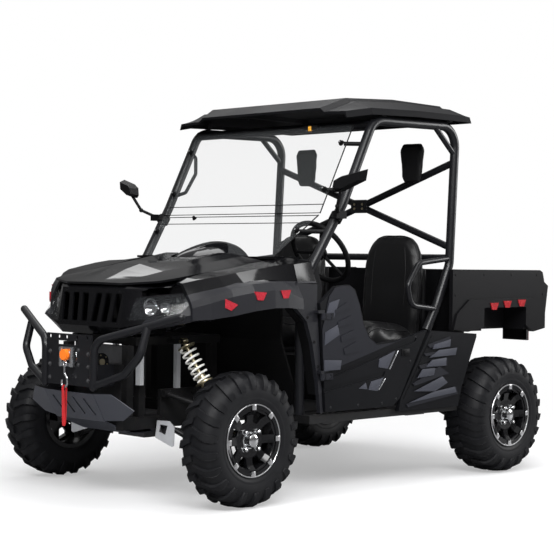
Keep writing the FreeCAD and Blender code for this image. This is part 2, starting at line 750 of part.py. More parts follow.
def fender_outline(x, points):
    """The skin's section with its inner side a wall's thickness below and inside."""
    inner = [(y - WALL * min(number, 1), z - WALL) for number, (y, z) in enumerate(points[:-1])]
    inner.append((points[-1][0] - WALL, points[-1][1]))
    return [Vector(x, y, z) for y, z in list(points) + inner[::-1]]


fender = loft([fender_outline(x, points) for x, points in FENDER_SECTIONS])
QUARTER = ((496, 1040), (640, 1046), (640, 925), (566, 861), (524, 749), (482, 552), (462, 411), (444, 411),
           (496, 948))
quarter_face = Part.Face(Part.makePolygon([Vector(x, 718, z) for x, z in QUARTER + QUARTER[:1]]))
quarter = quarter_face.extrude(Vector(0, 24, 0))
SHOULDER_SECTIONS = (
    (630, ((500, 1150), (712, 1135), (740, 1046), (728, 1034), (700, 1121), (500, 1138))),
    (500, ((490, 1172), (700, 1150), (740, 1046), (728, 1034), (688, 1138), (490, 1160))),
)
shoulder = loft([[Vector(x, y, z) for y, z in points] for x, points in SHOULDER_SECTIONS])

# Nose: a middle with upright grille slots, and swept sides with a well for each lamp
NOSE_SECTIONS = (
    # y, then the outline from the rear foot round the front to the rear top
    (243, ((1120, 782), (1285, 786), (1316, 826), (1287, 1010), (1276, 1019), (1120, 1050))),
    (460, ((1080, 840), (1200, 838), (1238, 868), (1145, 1006), (1138, 1024), (1080, 1050))),
    (560, ((1000, 868), (1084, 872), (1098, 900), (1052, 1004), (1050, 1040), (1000, 1058))),
)


def nose_section(y, points, wall=0):
    middle_x = sum(x for x, z in points) / len(points)
    middle_z = sum(z for x, z in points) / len(points)
    shrunk = []
    for x, z in points:
        shrunk.append(Vector(x - wall * (1 if x > middle_x else -3), y,
                             z + wall * (1 if z < middle_z else -1)))
    return shrunk


middle_y = NOSE_SECTIONS[0][0]
middle_points = NOSE_SECTIONS[0][1]
middle_nose = loft([nose_section(y, middle_points) for y in (-middle_y, middle_y)])
side_nose = loft([nose_section(y, points) for y, points in NOSE_SECTIONS])
middle_room = loft([nose_section(y, middle_points, 10) for y in (-middle_y, middle_y)])
side_room = loft([nose_section(y, points, 10) for y, points in NOSE_SECTIONS])
nose = joined([middle_nose, side_nose, flip(side_nose)])
nose = nose.cut([middle_room, side_room, flip(side_room)])
nose_tab = box((1012, 480, 1030), (1060, 530, 1062))
nose = joined([nose, nose_tab, flip(nose_tab)])
GRILLE_SLOTS_Y = (-190, -114, -38, 38, 114, 190)
slots = []
for slot_y in GRILLE_SLOTS_Y:
    slant = 14 if slot_y > 0 else -14
    corners = [Vector(1240, slot_y - 22, 850), Vector(1240, slot_y + 22, 850),
               Vector(1240, slot_y + 24 + slant, 985), Vector(1240, slot_y - 24 + slant, 985)]
    slots.append(Part.Face(Part.makePolygon(corners + [corners[0]])).extrude(Vector(100, 0, 0)))
nose = nose.cut(slots)
LAMP = (
    # y, z of the corners, seen from the front
    (275, 863),
    (300, 968),
    (540, 998),
    (505, 903),
    (435, 872),
)
LAMP_DEPTH = 55
LAMP_WALL = 8
LENS_WALL = 9
LAMP_GAP = 0.6


def lamp_prism(grow):
    """The lamp's outline grown about its middle, along the whole nose."""
    middle = sum([Vector(0, *corner) for corner in LAMP], Vector()) * (1 / len(LAMP))
    rim = []
    for corner in LAMP:
        place = Vector(0, *corner)
        rim.append(place + (place - middle).normalize() * grow + Vector(900, 0, 0))
    return Part.Face(Part.makePolygon(rim + rim[:1])).extrude(Vector(500, 0, 0))


def set_back(shape, depth):
    return shape.translated(Vector(-depth, 0, 0))


bowl = side_nose.common(lamp_prism(LAMP_WALL)).cut(set_back(side_nose, LAMP_DEPTH + LAMP_WALL))
bowl = bowl.cut(lamp_prism(0).cut(set_back(side_nose, LAMP_DEPTH)))
well = lamp_prism(0).cut(set_back(side_nose, LAMP_DEPTH))
nose = joined([nose.cut([well, flip(well)]), bowl, flip(bowl)])
cowl_parts = [box((400, -520, 1160), (588, 520, 1171.7))]
for y in (330, -344):
    cowl_parts.append(box((574, y, 1139), (604, y + 14, 1162)))
for y in (330, -370):
    cowl_parts.append(Part.makeCylinder(5, 40, Vector(600, y, 1150), Vector(0, 1, 0)))
HINGE_HEIGHTS = (575, 870)
HINGE_FEET = (
    # foot on the quarter panel, rear and front end
    (466, 489),
    (499, 515),
)
hinge_x = size("door_hinge_x")
hinge_y = size("door_hinge_y")
door_face = size("door_inner_y") + size("door_wall")
brackets = []
for hinge_z, (foot_rear, foot_front) in zip(HINGE_HEIGHTS, HINGE_FEET):
    low_z = hinge_z + 30.3
    arm_y = hinge_y - 7
    brackets.append(box((hinge_x, arm_y, low_z), (foot_front, hinge_y + 8, low_z + 14)))
    brackets.append(box((foot_rear, 741, low_z), (foot_front, arm_y + 1, low_z + 14)))
    brackets.append(Part.makeCylinder(8, 14, Vector(hinge_x, hinge_y, low_z)))
    brackets.append(Part.makeCylinder(size("door_pin_radius"), 42, Vector(hinge_x, hinge_y, hinge_z)))
skins = [fender, quarter, shoulder]
side_parts = skins + brackets
front_body = joined([nose, pod, scoop] + cowl_parts + side_parts + [flip(part) for part in side_parts])
formed("front_body", front_body)
lamp = side_nose.common(lamp_prism(-LAMP_GAP)).cut(set_back(side_nose, LENS_WALL))
both_sides("headlamps", lamp)
FENDER_LENSES = (
    # x, z of the middle, outer face y, tilt about the side's own axis, turn towards the front
    (1030, 942, 696, -24, 50),
    (925, 987, 787, -4, 8),
    (762, 995, 789, 2, 0),
)
LENS_DEPTH = 24
LENS_STAND = 5


def lens(x, y, z, tilt, turn, width=66, height=38):
    """A trapezoid reflector, wider at the top, standing a little off the panel at y."""
    shape = ((-width / 2, height / 2), (width / 2, height / 2),
             (width / 4, -height / 2), (-width / 4, -height / 2))
    corners = [Vector(x + across, y, z + up) for across, up in shape]
    solid = Part.Face(Part.makePolygon(corners + [corners[0]])).extrude(Vector(0, LENS_DEPTH, 0))
    solid.translate(Vector(0, LENS_STAND - LENS_DEPTH, 0))
    solid.rotate(Vector(x, y, z), Vector(0, 1, 0), tilt)
    solid.rotate(Vector(x, y, z), Vector(0, 0, 1), -turn)
    return solid


lenses = []
for x, z, y, tilt, turn in FENDER_LENSES:
    raw = lens(x, y, z, tilt, turn).cut(front_body)
    lenses.append(sorted(raw.Solids, key=lambda solid: solid.BoundBox.YMax)[-1])
formed("fender_lenses", Part.Compound(lenses + [flip(piece) for piece in lenses]))

# Bonnet: hinged at its rear edge
HOOD_SECTIONS = (
    # x, half width, edge height, ridge (y, z), crest (y, z)
    (1284, 214, 1036, (120, 1037), (40, 1038)),
    (1215, 400, 1050, (200, 1058), (60, 1068)),
    (1148, 432, 1062, (240, 1074), (69, 1100)),
    (1071, 440, 1074, (262, 1094), (87, 1128)),
    (880, 462, 1106, (300, 1128), (200, 1144)),
    (612, 488, 1150, (330, 1172), (250, 1188)),
)


def hood_outline(x, half, edge, ridge, crest):
    left = [(half, edge), ridge, crest]
    top = left + [(-y, z) for y, z in reversed(left)]
    under = [(y, z - 10) for y, z in reversed(top)]
    return [Vector(x, y, z) for y, z in top + under]


hood = loft([hood_outline(*section) for section in HOOD_SECTIONS])
ear = box((590, 350, 1140), (650, 370, 1152)).cut(Part.makeCylinder(5.05, 30, Vector(600, 345, 1150),
                                                                     Vector(0, 1, 0)))
formed("hood", hood.cut(bonnet_room).fuse([ear, flip(ear)]).removeSplitter())

# Doors: moulded half doors hung at their front edge
DOOR = outline("door", (
    (484, 948), (373, 1030), (276, 1038), (233, 1014), (196, 938), (165, 842), (121, 774), (62, 740),
    (-139, 757), (-330, 800), (-118, 452), (-66, 416), (436, 416)))
door_panel = prism("door_panel", "XZ_Plane", DOOR, "door_wall", "door_inner_y")
doc.recompute()
eyes = []
for hinge_z in HINGE_HEIGHTS:
    strap = box((hinge_x - 80, door_face - 1, hinge_z), (hinge_x, door_face + 9, hinge_z + 30))
    eye = Part.makeCylinder(10.5, 30, Vector(hinge_x, hinge_y, hinge_z))
    eyes += [strap, eye]
hinge_holes = [Part.makeCylinder(size("door_pin_radius") + size("running_gap"), 34,
                                 Vector(hinge_x, hinge_y, hinge_z - 2)) for hinge_z in HINGE_HEIGHTS]
DOOR_PAD = ((458, 606), (470, 820), (424, 980), (385, 1022), (335, 1034), (270, 1030), (240, 1008),
            (204, 935), (173, 840), (129, 770), (66, 733), (-60, 742), (-190, 772))
DOOR_RIBS = (
    ((388, 913), (298, 952), (271, 921), (387, 897)),
    ((363, 856), (270, 885), (250, 849), (363, 829)),
    ((340, 785), (249, 814), (232, 778), (336, 757)),
    ((319, 723), (228, 756), (203, 706), (309, 693)),
)
DOOR_BARS = (
    ((455, 588), (-60, 716), (-250, 762), (-235, 742), (-30, 690), (455, 568)),
    ((455, 531), (49, 590), (-5, 596), (10, 572), (455, 512)),
)


def raised(corners, low_y, high_y):
    """A flat shape in x and z, standing from one y to another."""
    points = [Vector(x, low_y, z) for x, z in corners]
    return Part.Face(Part.makePolygon(points + points[:1])).extrude(Vector(0, high_y - low_y, 0))


door_relief = [raised(DOOR_PAD, door_face - 2, door_face + 4)]
door_relief += [raised(corners, door_face - 2, door_face + 8) for corners in DOOR_RIBS]
door_grooves = [raised(corners, door_face - 5, door_face + 20) for corners in DOOR_BARS]
left_door = joined([joined([door_panel.Shape] + door_relief).cut(door_grooves)] + eyes).cut(hinge_holes)
formed("door_left", left_door)
formed("door_right", flip(left_door))

# Rear side panels between the door and the bed
SIDE_PANEL = outline("side_panel", (
    (-352, 786), (-128, 455), (-112, 386), (REAR_AXLE + " + 390", 386), (REAR_AXLE + " + 366", 478),
    (REAR_AXLE + " + 238", 753), (REAR_AXLE + " + 238", 770), (-352, 796)))
side_panel = prism("side_panel", "XZ_Plane", SIDE_PANEL, "door_wall", "door_inner_y")
doc.recompute()
PANEL_FINS = (
    ((-330, 722), (-516, 760), (-516, 718), (-350, 706)),
    ((-300, 676), (-524, 694), (-524, 668), (-318, 664)),
    ((-262, 616), (-494, 642), (-494, 606), (-276, 600)),
    ((-214, 524), (-430, 606), (-510, 566), (-230, 512)),
    ((-165, 420), (-574, 486), (-590, 452), (-178, 404)),
)
fins = [raised(corners, door_face - 2, door_face + 7) for corners in PANEL_FINS]
left_panel = joined([side_panel.Shape] + fins)
both_sides("rear_side_panels", left_panel)

# Cab floor, seat plinth, firewall and dashboard
FLOOR = outline("cab_section", (
    (-56, 400.3), (452, 400.3), (600, 760), (600, 1130), (590, 1130), (590, 764), (446, 408.3), (-48, 408.3),
    (-48, 640), (-600, 640), (-600, 632), (-56, 632)))
prism("cab_floor", "XZ_Plane", FLOOR, "2 * cab_half", "0 - cab_half")
DASH = outline("dash", (
    (330, 930), (360, 910), (455, 930), (455, 1140), (420, 1160), (350, 1120), (310, 1020)))
prism("dashboard", "XZ_Plane", DASH, "2 * cab_half", "0 - cab_half")

# Seats: two buckets on the plinth and pads for the head on the back brace
seat_y = 362
PLINTH_Z = 640 + gap
EDGE = 30
CUSHION_SECTIONS = (
    # x, half width, top
    (-70, 215, 800),
    (-120, 235, 838),
    (-440, 235, 806),
)
BACK_SECTIONS = (
    # z, half width, lean to the rear
    (PLINTH_Z, 215, 14.7),
    (1000, 225, -10),
    (1240, 200, -22),
    (1325, 150, -28),
)
BACK_FACES_X = (-455, -535)
HEAD_PAD_Y = 406
HEAD_PAD_X = (-586, -622.3)
HEAD_PAD_SECTIONS = (
    # z, half width
    (1575, 60),
    (1610, 85),
    (1790, 100),
    (1825, 80),
)


def cushion_section(x, half, top):
    low = [(-half, PLINTH_Z), (half, PLINTH_Z)]
    high = [(half, top - EDGE), (half - EDGE, top), (EDGE - half, top), (-half, top - EDGE)]
    return [Vector(x, seat_y + y, z) for y, z in low + high]


def level_section(z, front_x, front_half, rear_x, rear_half, middle_y):
    corners = ((front_x, -front_half), (front_x, front_half), (rear_x, rear_half), (rear_x, -rear_half))
    return [Vector(x, middle_y + y, z) for x, y in corners]


both_sides("seat_cushions", loft([cushion_section(*section) for section in CUSHION_SECTIONS]))
front_x, rear_x = BACK_FACES_X
both_sides("seat_backs", loft([level_section(z, front_x + lean, half, rear_x + lean, half - 20, seat_y)
                               for z, half, lean in BACK_SECTIONS]))
front_x, rear_x = HEAD_PAD_X
both_sides("headrests", loft([level_section(z, front_x, half, rear_x, half, HEAD_PAD_Y)
                              for z, half in HEAD_PAD_SECTIONS]))

# Powertrain: one heavy block for engine and gearbox, with its exhaust and drive shafts
block("powertrain", -980, -170, "rail_high_z + seat_gap", 640, 340, 220)
rod("exhaust", "x", 70, 259.7, -1240, 0, 560)
cases = [block("front_case", "front_axle_x - 80", -100, 275, 169.7, 200, 119.7),
         block("rear_case", REAR_AXLE + " - 80", -130, 262, 160, 260, "rail_high_z - 262")]
together("gearcases", cases)
for_shafts = []
for axle_x, start_y, outer_gap in ((FRONT_X, 100 + gap, 5), (REAR_X, 130 + gap, gap)):
    shaft_low = knuckle_y - KNUCKLE_POST_RADIUS - outer_gap
    shaft = joined([
        Part.makeCylinder(14, shaft_low - start_y, Vector(axle_x, start_y, axle_z), Vector(0, 1, 0)),
        Part.makeCylinder(30, 60, Vector(axle_x, start_y, axle_z), Vector(0, 1, 0)),
        Part.makeCylinder(28, 50, Vector(axle_x, shaft_low - 60, axle_z), Vector(0, 1, 0)),
    ])
    for_shafts += [shaft, flip(shaft)]
formed("half_shafts", Part.Compound(for_shafts))

# Cargo bed with its tailgate
FLARE = outline("bed_side", (
    (-575, 792), (-700, 780), (-838, 800), (-900, 868), (-980, 900), (-1090, 900), (-1170, 868),
    (-1229, 806), (-1302, 768), (-1412, 786), (-1452, 1028), (-1415, 1050), (-1398, 1106), (-1372, 1118),
    (-575, 1118)))
bed_side = prism("bed_side", "XZ_Plane", FLARE, "bed_wall", "bed_half - bed_wall")
bed_floor = block("bed_floor", "bed_rear_x", "0 - bed_half + bed_wall / 2", "bed_under_z",
                  "bed_front_x - bed_rear_x", "2 * bed_half - bed_wall", "bed_floor_z - bed_under_z")
bed_front = block("bed_front", "bed_front_x - bed_wall", "0 - bed_half + bed_wall / 2", "bed_under_z",
                  "bed_wall", "2 * bed_half - bed_wall", "bed_top_z - bed_under_z")
arch_box = block("arch_box", -1240, "bed_half - 160", "bed_under_z", 410, 150, 140)
arch_room = block("arch_room", -1228, "bed_half - 148", "bed_under_z - 1", 386, 170, 128)
arch = carved("arch", arch_box, arch_room)
bed_rail = block("bed_rail", "bed_hinge_x - 22", "rail_y - 17", "rear_top_z + seat_gap",
                 620, 34, "bed_under_z - rear_top_z - seat_gap + 1")
BED_FLARE = outline("bed_flare", (
    (-577, 795), (-606, 878), (-711, 955), (-1290, 960), (-1412, 905), (-1412, 786), (-1302, 768),
    (-1229, 806), (-1170, 868), (-1090, 900), (-980, 900), (-900, 868), (-838, 800), (-700, 780)))
bed_flare = prism("bed_flare", "XZ_Plane", BED_FLARE, "bed_flare_out + 1", "bed_half - 1")
bed_pairs = [bed_side, bed_flare, arch, bed_rail]
bed_pairs += [mirrored(part) for part in bed_pairs]
bed_solid = fused("cargo_bed_solid", bed_pairs + [bed_floor, bed_front])
hinge_bore = rod("hinge_bore", "y", "ball_pin_radius - 1 + running_gap", 500, "bed_hinge_x", -250,
                 "bed_hinge_z")
gate_bore = rod("gate_bore", "y", "gate_pin_radius + running_gap", "2 * (bed_half - bed_wall + 12.3)",
                "gate_x", "0 - (bed_half - bed_wall + 12.3)", "gate_z")
arch_cut = together("arch_cut", [arch_room, mirrored(arch_room), hinge_bore, gate_bore])
carved("cargo_bed", bed_solid, arch_cut)
BED_LENSES = (
    # x, z of the middle
    (-928, 916),
    (-1048, 926),
    (-1182, 932),
)
bed_side_y = size("bed_half") + size("bed_flare_out") + gap
bed_panel = box((-1400, 600, 800), (-600, bed_side_y, 1000))
bed_lenses = [lens(x, bed_side_y, z, 0, 0, 74, 38).cut(bed_panel) for x, z in BED_LENSES]
tail_top_z = size("bed_under_z") - gap
bed_lenses.append(box((-1388, 470, tail_top_z - 70), (-1366, 640, tail_top_z)))
formed("bed_lenses", Part.Compound(bed_lenses + [flip(piece) for piece in bed_lenses]))
gate_panel = block("gate_panel", "gate_x - tailgate_wall / 2", "0 - bed_half + bed_wall + 6", "gate_z - 14",
                   "tailgate_wall", "2 * (bed_half - bed_wall - 6)", "bed_top_z - 10 - gate_z + 14")
gate_pin = rod("gate_pin", "y", "gate_pin_radius", "2 * (bed_half - bed_wall + 12)", "gate_x",
               "0 - (bed_half - bed_wall + 12)", "gate_z")
fused("tailgate", [gate_panel, gate_pin])

# Square hitch receiver under the tail, with a cross hole for its pin
receiver = carved("receiver_tube",
                  block("receiver_block", FRAME_REAR + " - 130", -31.75, "rail_low_z + 5", 130, 63.5, 63.5),
                  block("receiver_room", FRAME_REAR + " - 131", -25.5, "rail_low_z + 11.25", 132, 51, 51))
carved("hitch_receiver", receiver, rod("receiver_hole", "y", 8.25, 80, FRAME_REAR + " - 70", -40,
                                       "rail_low_z + 36.75"))

# Bumper: upright tubes that sweep out below the lamps, outer loops and a drilled plate
BUMPER_INNER = ((1425, 190, 545), (1425, 190, 762), (1256, 611, 886))
BUMPER_OUTER = ((1320, 452, 838), (1360, 447, 705), (1382, 360, 612), (1421, 205, 556))
bumper_radius = 19
plate_x = 1422
bumper_parts = []
for path in (BUMPER_INNER, BUMPER_OUTER):
    bumper_parts.append(tube([Vector(*point) for point in path], bumper_radius, 70))
bumper_parts.append(Part.makeSphere(bumper_radius, Vector(*BUMPER_INNER[-1])))
bumper_parts.append(Part.makeSphere(bumper_radius, Vector(*BUMPER_INNER[0])))
plate = box((plate_x, -176, 545), (plate_x + 6, 176, 790))
holes = [box((plate_x - 2, -88, 738), (plate_x + 10, 70, 756)),
         box((plate_x - 2, -60, 640), (plate_x + 10, 60, 722))]
for hole_y in (-150, -80, -20, 60, 140):
    holes.append(Part.makeCylinder(9, 20, Vector(plate_x - 5, hole_y, 775), Vector(1, 0, 0)))
tray = [box((1300.3, -182, 612), (plate_x + 2, 182, 620)), box((1300.3, -182, 604), (1306, 182, 648))]
for side_y in (-182, 176):
    tray.append(box((1300.3, side_y, 548), (plate_x + 2, side_y + 6, 650)))
bumper_parts += [flip(part) for part in bumper_parts]
formed("front_bumper", joined([plate.cut(holes)] + tray + bumper_parts))

# Skid plate under the bumper: a drilled middle, two swept wings and a pan
SKID_MIDDLE = ((1424, 515), (1352, 385), (1190, 318), (1068, 318), (1068, 344.7), (1062, 344.7), (1062, 312),
               (1192, 312), (1356, 380), (1430, 513))
skid_face = Part.Face(Part.makePolygon([Vector(x, -190, z) for x, z in SKID_MIDDLE + SKID_MIDDLE[:1]]))
skid = skid_face.extrude(Vector(0, 380, 0))
slits = []
for slit_y in (-120, -40, 40, 120):
    corners = [Vector(1300, slit_y - 26, 488), Vector(1300, slit_y - 14, 492), Vector(1300, slit_y + 26, 412),
               Vector(1300, slit_y + 14, 408)]
    slits.append(Part.Face(Part.makePolygon(corners + [corners[0]])).extrude(Vector(200, 0, 0)))
skid = skid.cut(slits)
WING = ((1429, 180, 514), (1400, 296, 524), (1350, 398, 446), (1350, 310, 388), (1357, 180, 384))
wing_face = flat_outline(WING)
wing = Part.Face(Part.makePolygon(wing_face + wing_face[:1])).extrude(inward(wing_face) * 5)
formed("bumper_skid", joined([skid, wing, flip(wing)]))

# Winch on its tray, the fairlead with its rollers and hook, the cable stop and the pull strap
winch_z = 662.3
winch = joined([
    Part.makeCylinder(30, 240, Vector(1362, -120, winch_z), Vector(0, 1, 0)),
    Part.makeCylinder(42, 90, Vector(1362, -168, winch_z), Vector(0, 1, 0)),
    Part.makeCylinder(42, 80, Vector(1362, 88, winch_z), Vector(0, 1, 0)),
    box((1330, -168, 620.3), (1394, 168, 634)),
])
formed("winch", winch)
fair_x = plate_x + 6.3
fair_window = box((fair_x - 1, -30, 652), (fair_x + 20, 30, 710))
fair = box((fair_x, -54, 634), (fair_x + 16, 54, 728)).cut(fair_window)
rollers = []
for roller_y in (-42, 42):
    rollers.append(Part.makeCylinder(9, 94, Vector(fair_x + 16, roller_y, 634)))
hook_x = fair_x + 24
HOOK = ((0, 638), (0, 602), (20, 582), (24, 552), (0, 532), (-22, 548), (-18, 572))
hook = tube([Vector(hook_x, y, z) for y, z in HOOK], 6, 14)
eye = Part.makeTorus(12, 5, Vector(hook_x, 0, 648.5), Vector(1, 0, 0))
formed("fairlead", Part.Compound([joined([fair] + rollers), joined([hook, eye])]))
stop = Part.makeCylinder(26, 20, Vector(fair_x + 16 + gap, 0, 692), Vector(1, 0, 0))
formed("cable_stop", stop)
STRAP = ((hook_x - 2, 529.4), (hook_x + 2, 529.4), (hook_x + 6, 346), (hook_x + 2, 346))
strap_face = Part.Face(Part.makePolygon([Vector(x, -14, z) for x, z in STRAP + STRAP[:1]]))
formed("winch_strap", strap_face.extrude(Vector(0, 28, 0)))

# Mirrors on arms from the front posts
MIRROR_OUTLINE = ((0, 14), (8, 55), (55, 78), (198, 110), (188, 54), (70, 4), (20, 0))
mirror_foot = Vector(400, 740, 1492)
mirror_way = Vector(-0.25, 0.97, 0).normalize()
mirror_out = Vector(0.97, 0.25, 0).normalize()
glass_side = [mirror_foot + mirror_way * along + Vector(0, 0, up) for along, up in MIRROR_OUTLINE]
mirror_middle = mirror_foot + mirror_way * 95 + Vector(0, 0, 52)
shell_side = [mirror_middle + (corner - mirror_middle) * 0.72 + mirror_out * 42 for corner in glass_side]
mirror_head = loft([glass_side, shell_side])
stalk_low = Vector(372, 752, 1424)
clamp_mid = Vector(283, 662, 1372)
stalk = [bar(mirror_foot + mirror_way * 60 + mirror_out * 18 + Vector(0, 0, 20), stalk_low, 8),
         Part.makeSphere(12, stalk_low), bar(stalk_low, Vector(318, 702, 1392), 8),
         box((262, 690, 1366), (335, 714, 1402))]
clamp_way = (Vector(240, 665, 1440) - Vector(512, 640, 1010)).normalize()
clamp_ring = Part.makeCylinder(cage + 9, 38, clamp_mid - clamp_way * 19, clamp_way)
mirror = joined([mirror_head, clamp_ring] + stalk).cut(room)
mirror = sorted(mirror.Solids, key=lambda solid: solid.Volume)[-1]
both_sides("mirrors", mirror)

# Grab handle on the passenger's front post
HANDLE = ((78, -665, 1752), (58, -650, 1735), (66, -640, 1640), (140, -640, 1530), (212, -655, 1505))
handle = tube([Vector(*point) for point in HANDLE], 10, 26).cut(room)
formed("grab_handle", sorted(handle.Solids, key=lambda solid: solid.Volume)[-1])

# Liners behind the front wheels, a radiator, bright posts by the dampers and arm guards
LINER = ((640, 918), (566, 854), (524, 744), (482, 548), (472, 500), (466, 500), (476, 550), (518, 747),
         (560, 858), (636, 926))
both_sides("wheel_liners", raised(LINER, CAGE_SIDE[0][1] + cage + gap, 718 - gap))
post_y = size("rail_y") + 20
radiator_half = size("rail_y") - 20 - gap
formed("radiator", box((1203, -radiator_half, size("rail_high_z") + gap), (1231, radiator_half, 735)))
tank = box((1200 + gap, post_y + gap, 553), (1222, post_y + 34, 690))
tower_post = box((940, post_y - 24, 525 + gap), (964, post_y, size("front_top_z") - 40 - gap))
formed("bright_posts", Part.Compound([tank, flip(tank), tower_post, flip(tower_post)]))
GUARD = ((262, 296), (276, 379), (365, 383), (401, 356), (398, 268), (383, 262))
guard_x = FRONT_X + 130 + 22 + gap
guard_points = [Vector(guard_x, y, z) for y, z in GUARD]
guard = Part.Face(Part.makePolygon(guard_points + guard_points[:1])).extrude(Vector(4, 0, 0))
window_points = [Vector(guard_x - 5, y, z) for y, z in ((288, 326), (300, 362), (352, 360), (336, 314))]
guard = guard.cut(Part.Face(Part.makePolygon(window_points + window_points[:1])).extrude(Vector(20, 0, 0)))
both_sides("arm_guards", guard)

# Pedals and gear lever
pedals = []
firewall_room = doc.getObject("cab_floor").Shape.translated(Vector(-gap, 0, 0))
for pedal_y in (300, 400):
    pedal = joined([bar(Vector(560, pedal_y, 676), Vector(420, pedal_y, 480), 6),
                    box((398, pedal_y - 30, 455), (424, pedal_y + 30, 520))]).cut(firewall_room)
    pedals.append(sorted(pedal.Solids, key=lambda solid: solid.BoundBox.XMin)[0])
lever = joined([bar(Vector(330, 40, 1000), Vector(250, 40, 1080), 7),
                Part.makeSphere(20, Vector(246, 40, 1084))])
lever = lever.cut(doc.getObject("dashboard").Shape)
lever = sorted(lever.Solids, key=lambda solid: solid.Volume)[-1]
formed("controls", Part.Compound(pedals + [lever]))

# Steering wheel on its column
wheel_hub = Vector(80, seat_y, 1200)
column_foot = Vector(360, seat_y, 1015)
lean = (wheel_hub - column_foot).normalize()
ring = Part.makeTorus(size("steering_wheel_radius"), 14, wheel_hub, lean)
spokes = [ring, bar(wheel_hub - lean * 24, wheel_hub + lean * 10, 34)]
for angle in (90, 210, 330):
    out = Rotation(lean, angle).multVec(lean.cross(Vector(0, 1, 0)).normalize())
    spokes.append(bar(wheel_hub, wheel_hub + out * size("steering_wheel_radius"), 9))
formed("steering_wheel", joined(spokes))
column = bar(column_foot, wheel_hub - lean * 24.3, 18).cut(doc.getObject("dashboard").Shape)
column = sorted(column.Solids, key=lambda solid: solid.BoundBox.ZMax)[-1]
formed("steering_column", column)
doc.recompute()

# Checks, then one file for each piece
NODES = (
    "chassis_frame", "front_arms", "rear_arms", "dampers", "coil_springs", "rear_knuckles", "half_shafts",
    "cage_side_members", "cage_cross_members", "side_bolsters", "roof", "windshield", "windshield_clamps",
    "front_body", "headlamps", "front_bumper", "bumper_skid", "winch", "fairlead", "cable_stop",
    "winch_strap", "fender_lenses", "bed_lenses", "grab_handle", "wheel_liners", "radiator", "bright_posts",
    "arm_guards", "controls", "cab_floor", "dashboard", "steering_column", "seat_cushions", "seat_backs",
    "headrests", "rear_side_panels", "mirrors", "powertrain", "gearcases", "exhaust", "hitch_receiver",
    "hood", "door_left", "door_right", "cargo_bed", "tailgate",
    "knuckle_left", "knuckle_right", "steering_rack", "steering_wheel",
    "tyre_front_left", "tyre_front_right", "tyre_rear_left", "tyre_rear_right",
    "rim_front_left", "rim_front_right", "rim_rear_left", "rim_rear_right",
)
for thing in doc.Objects:
    if "Invalid" in thing.State or "Error" in thing.State:
        raise RuntimeError("%s is %s" % (thing.Label, thing.State))
os.makedirs("parts", exist_ok=True)
for node in NODES:
    shape = doc.getObjectsByLabel(node)[0].Shape
    if shape.isNull() or not shape.isValid():
        raise RuntimeError(node + " has no valid shape")
    shape.exportStep("parts/%s.step" % node)
    print(node, len(shape.Solids), round(shape.Volume / 1e6, 2))
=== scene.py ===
# %% [markdown]
# A side by side utility vehicle, dressed for its portrait. The frame comes from a CAD model: every
# node already has its true size and place. This lesson gives each node a finish with real detail, and
# adds what is too small or too soft for the CAD model: tread, seams, bolts, lamp bowls and webbing.
# Everything is in metres, +X is forward, +Y is the vehicle's left and the ground is z = 0.

import math

import bmesh
import bpy
from mathutils import Matrix, Vector


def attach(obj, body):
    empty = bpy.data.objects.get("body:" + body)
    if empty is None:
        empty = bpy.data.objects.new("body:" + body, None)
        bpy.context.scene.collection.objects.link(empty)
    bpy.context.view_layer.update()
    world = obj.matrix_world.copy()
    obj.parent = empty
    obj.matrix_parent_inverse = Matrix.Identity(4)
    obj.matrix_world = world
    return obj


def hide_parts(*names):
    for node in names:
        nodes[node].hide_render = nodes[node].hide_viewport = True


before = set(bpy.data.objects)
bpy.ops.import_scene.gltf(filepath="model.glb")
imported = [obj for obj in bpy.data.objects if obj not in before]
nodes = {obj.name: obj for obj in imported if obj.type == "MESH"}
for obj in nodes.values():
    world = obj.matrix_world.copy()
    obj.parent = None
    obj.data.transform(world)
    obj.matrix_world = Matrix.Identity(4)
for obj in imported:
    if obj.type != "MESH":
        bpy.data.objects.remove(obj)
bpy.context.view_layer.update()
SIDES = (("left", 1), ("right", -1))


def in_scene(name, data):
    """A new object in the scene, at the origin."""
    made = bpy.data.objects.new(name, data)
    bpy.context.scene.collection.objects.link(made)
    return made


# %% [markdown]
# The camera copies the photograph's view. A long lens from almost eight metres away keeps the
# near wheel from looking too large, and the axis lies just under the roof's height, nearly level.
# A very small shift moves the frame down, so the vehicle sits where it does in the photograph.

# %% Camera
VIEW_TURN = math.radians(225.20)
VIEW_PITCH = math.radians(-0.306)
VIEW_ROLL = math.radians(0.794)
VIEW_PLACE = Vector((5.780, 5.783, 1.158))
SENSOR = 36.0
FOCAL_PIXELS = 1503.25
FRAME_PIXELS = 554
VIEW_SHIFT = -0.01706

ahead = Vector((math.cos(VIEW_TURN) * math.cos(VIEW_PITCH), math.sin(VIEW_TURN) * math.cos(VIEW_PITCH),
                math.sin(VIEW_PITCH)))
level_right = Vector((math.sin(VIEW_TURN), -math.cos(VIEW_TURN), 0))
level_up = level_right.cross(ahead)
right = level_right * math.cos(VIEW_ROLL) + level_up * math.sin(VIEW_ROLL)
up = level_up * math.cos(VIEW_ROLL) - level_right * math.sin(VIEW_ROLL)
camera = in_scene("camera", bpy.data.cameras.new("camera"))
camera.matrix_world = Matrix.Translation(VIEW_PLACE) @ Matrix((right, up, -ahead)).transposed().to_4x4()
camera.data.sensor_width = SENSOR
camera.data.lens = FOCAL_PIXELS / FRAME_PIXELS * SENSOR
camera.data.shift_y = VIEW_SHIFT
bpy.context.scene.camera = camera
print("camera lens", round(camera.data.lens, 1), "mm")

# %% [markdown]
# Shader maths reads best as plain expressions. A Wire holds one output socket, and Python's
# operators on it add Math nodes. A Recipe is the node tree of one material or of the world: its node
# method makes any node, feeds its sockets with numbers or other wires, and returns a wire.

# %% Wires and recipes
finishes = {}


